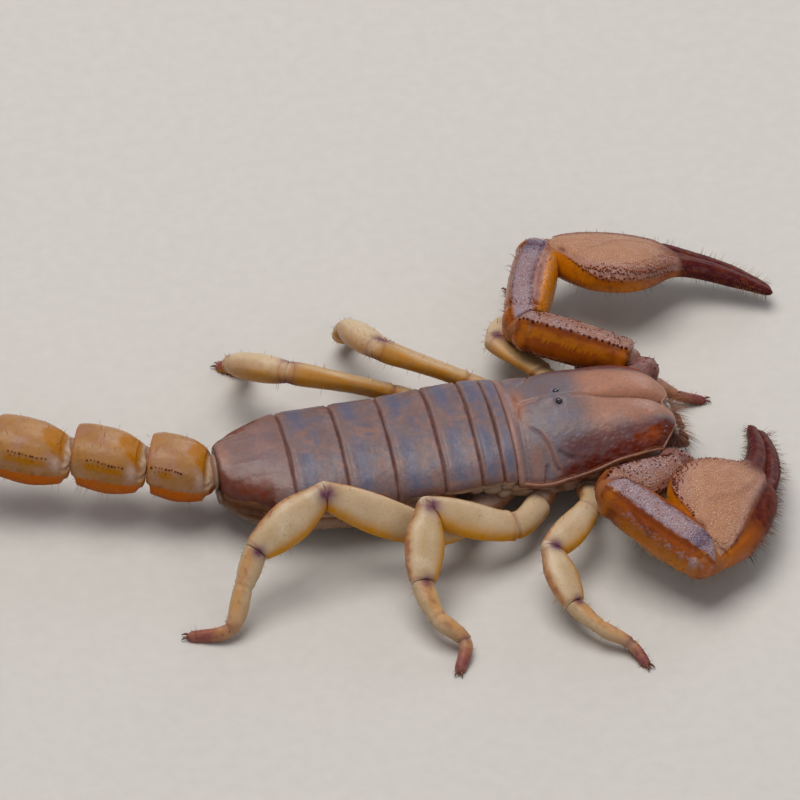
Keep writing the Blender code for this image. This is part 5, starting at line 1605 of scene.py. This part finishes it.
chance = random.Random(3)
droop = Vector((0, 0, -0.25))
first, middle, last = (share_at(PALM_REACH, y) for y in (2.5, 10, 18.2))
for side, places in palp_places.items():
    coat = hairs()
    for skin, column, count, along, around, length, lean, thick in (
            ("finger", 0, 150, (0.1, 0.9), (-0.9, 0.9), 1.1, droop * 0.5, 0.02),
            ("palm", 1, 150, (first, middle), (-0.6, 0.5), 0.9, droop, 0.02),
            ("palm", 1, 190, (first, last), (2.75, 3.7), 0.65, droop, 0.018),
            ("palm", 1, 60, (0.1, 0.9), (3.7, 5.8), 0.8, droop, 0.02),
            ("fore", 2, 55, (0.15, 0.85), ALL_ROUND, 0.8, droop, 0.024),
            ("upper", 3, 45, (0.15, 0.85), ALL_ROUND, 0.7, droop, 0.024),
            ("hip", 4, 30, (0.3, 0.8), ALL_ROUND, 0.6, droop, 0.024)):
        scatter(coat, places[skin], (column, len(places)), count, along, around, length, lean, chance, thick)
    grown(f"pedipalp_{side}_bristles", coat, DARK_HAIR, "limb")

coat = hairs()
for column, (side, place) in enumerate(mouth_places.items()):
    way = 1 if side == "left" else -1
    scatter(coat, place, (column, 2), 150, (0.3, 0.9), (math.pi * 1.05, math.pi * 1.95), 1.4,
            Vector((0.25, 0.25 * way, -0.6)), chance, 0.022, 0.4)
    scatter(coat, place, (column, 2), 90, (0.3, 0.9), (-0.6, 0.9) if way > 0 else (2.3, 3.8), 1.3,
            Vector((0.0, 0.3 * way, -1.0)), chance, 0.022, 0.3)
grown("mouth_bristles", coat, MOUTH_HAIR, "limb")

for name, places in leg_places.items():
    coat = hairs()
    for column, (count, along, length) in enumerate(((26, (0.25, 0.9), 0.6), (36, (0.1, 0.9), 0.6),
                                                     (80, (0.15, 0.93), 0.5))):
        scatter(coat, places[column], (column, 3), count, along, ALL_ROUND, length, droop, chance, 0.022)
    grown(f"leg_{name}_bristles", coat, HAIR, "leg")

coat = hairs()
for number, place in enumerate(tail_places):
    scatter(coat, place, (number, 6), 34 + 10 * number, (0.3, 0.92), ALL_ROUND, 0.7 + 0.12 * number, droop,
            chance, 0.022)
scatter(coat, sting_place, (5, 6), 170, (0.12, 0.62), ALL_ROUND, 1.3, droop * 0.4, chance, 0.024)
grown("tail_bristles", coat, HAIR, "tail")

# Studio. A pale matt floor, a broad soft light overhead and weaker ones in front and behind, and the camera
# at the height and side from which the animal is seen.
EYE_LEVEL = (-0.1505, -0.7396, 0.6561)
AIM = Vector((-7.64, 1.96, 7.66))
CAMERA_DISTANCE = 0.620
LENS = 364.9

floor_body = bmesh.new()
bmesh.ops.create_grid(floor_body, x_segments=2, y_segments=2, size=1.5)
floor_mesh = bpy.data.meshes.new("floor")
floor_body.to_mesh(floor_mesh)
floor_body.free()
floor = bpy.data.objects.new("floor", floor_mesh)
bpy.context.scene.collection.objects.link(floor)
paper = bpy.data.materials.new("floor_paper")
paper.use_nodes = True
paper_nodes, paper_links = paper.node_tree.nodes, paper.node_tree.links
flecks = paper_nodes.new("ShaderNodeTexNoise")
flecks.inputs["Scale"].default_value = 900
tone = paper_nodes.new("ShaderNodeValToRGB")
tone.color_ramp.elements[0].color = (0.50, 0.475, 0.445, 1)
tone.color_ramp.elements[1].color = (0.56, 0.535, 0.50, 1)
paper_links.new(paper_nodes.new("ShaderNodeTexCoord").outputs["Object"], flecks.inputs["Vector"])
paper_links.new(flecks.outputs["Fac"], tone.inputs["Fac"])
paper_links.new(tone.outputs["Color"], paper_nodes["Principled BSDF"].inputs["Base Color"])
paper_nodes["Principled BSDF"].inputs["Roughness"].default_value = 0.9
floor_mesh.materials.append(paper)

for name, place, size, power, tint in (
        ("overhead", (-0.06, 0.10, 0.55), 0.42, 3.0, (1.0, 0.975, 0.94)),
        ("front_fill", (0.20, -0.55, 0.30), 0.40, 0.75, (1.0, 0.95, 0.88)),
        ("edge", (0.35, 0.40, 0.22), 0.25, 0.6, (0.97, 0.97, 1.0))):
    lamp = bpy.data.lights.new(name, "AREA")
    lamp.size = size
    lamp.energy = power
    lamp.color = tint
    hung = bpy.data.objects.new(name, lamp)
    hung.location = place
    hung.rotation_euler = (Vector((0, 0, 0.004)) - Vector(place)).to_track_quat("-Z", "Y").to_euler()
    bpy.context.scene.collection.objects.link(hung)
world = bpy.data.worlds.new("soft_surround")
world.use_nodes = True
world.node_tree.nodes["Background"].inputs["Color"].default_value = (0.88, 0.92, 1.0, 1)
world.node_tree.nodes["Background"].inputs["Strength"].default_value = 0.26
bpy.context.scene.world = world
bpy.context.scene.view_settings.view_transform = "Standard"

backwards = Vector(EYE_LEVEL)
lens = bpy.data.cameras.new("camera")
lens.lens = LENS
lens.sensor_width = 36
lens.clip_start = 0.01
camera = bpy.data.objects.new("camera", lens)
camera.location = (AIM - MIDDLE) * MM + backwards * CAMERA_DISTANCE
camera.rotation_euler = backwards.to_track_quat("Z", "Y").to_euler()
bpy.context.scene.collection.objects.link(camera)
bpy.context.scene.camera = camera
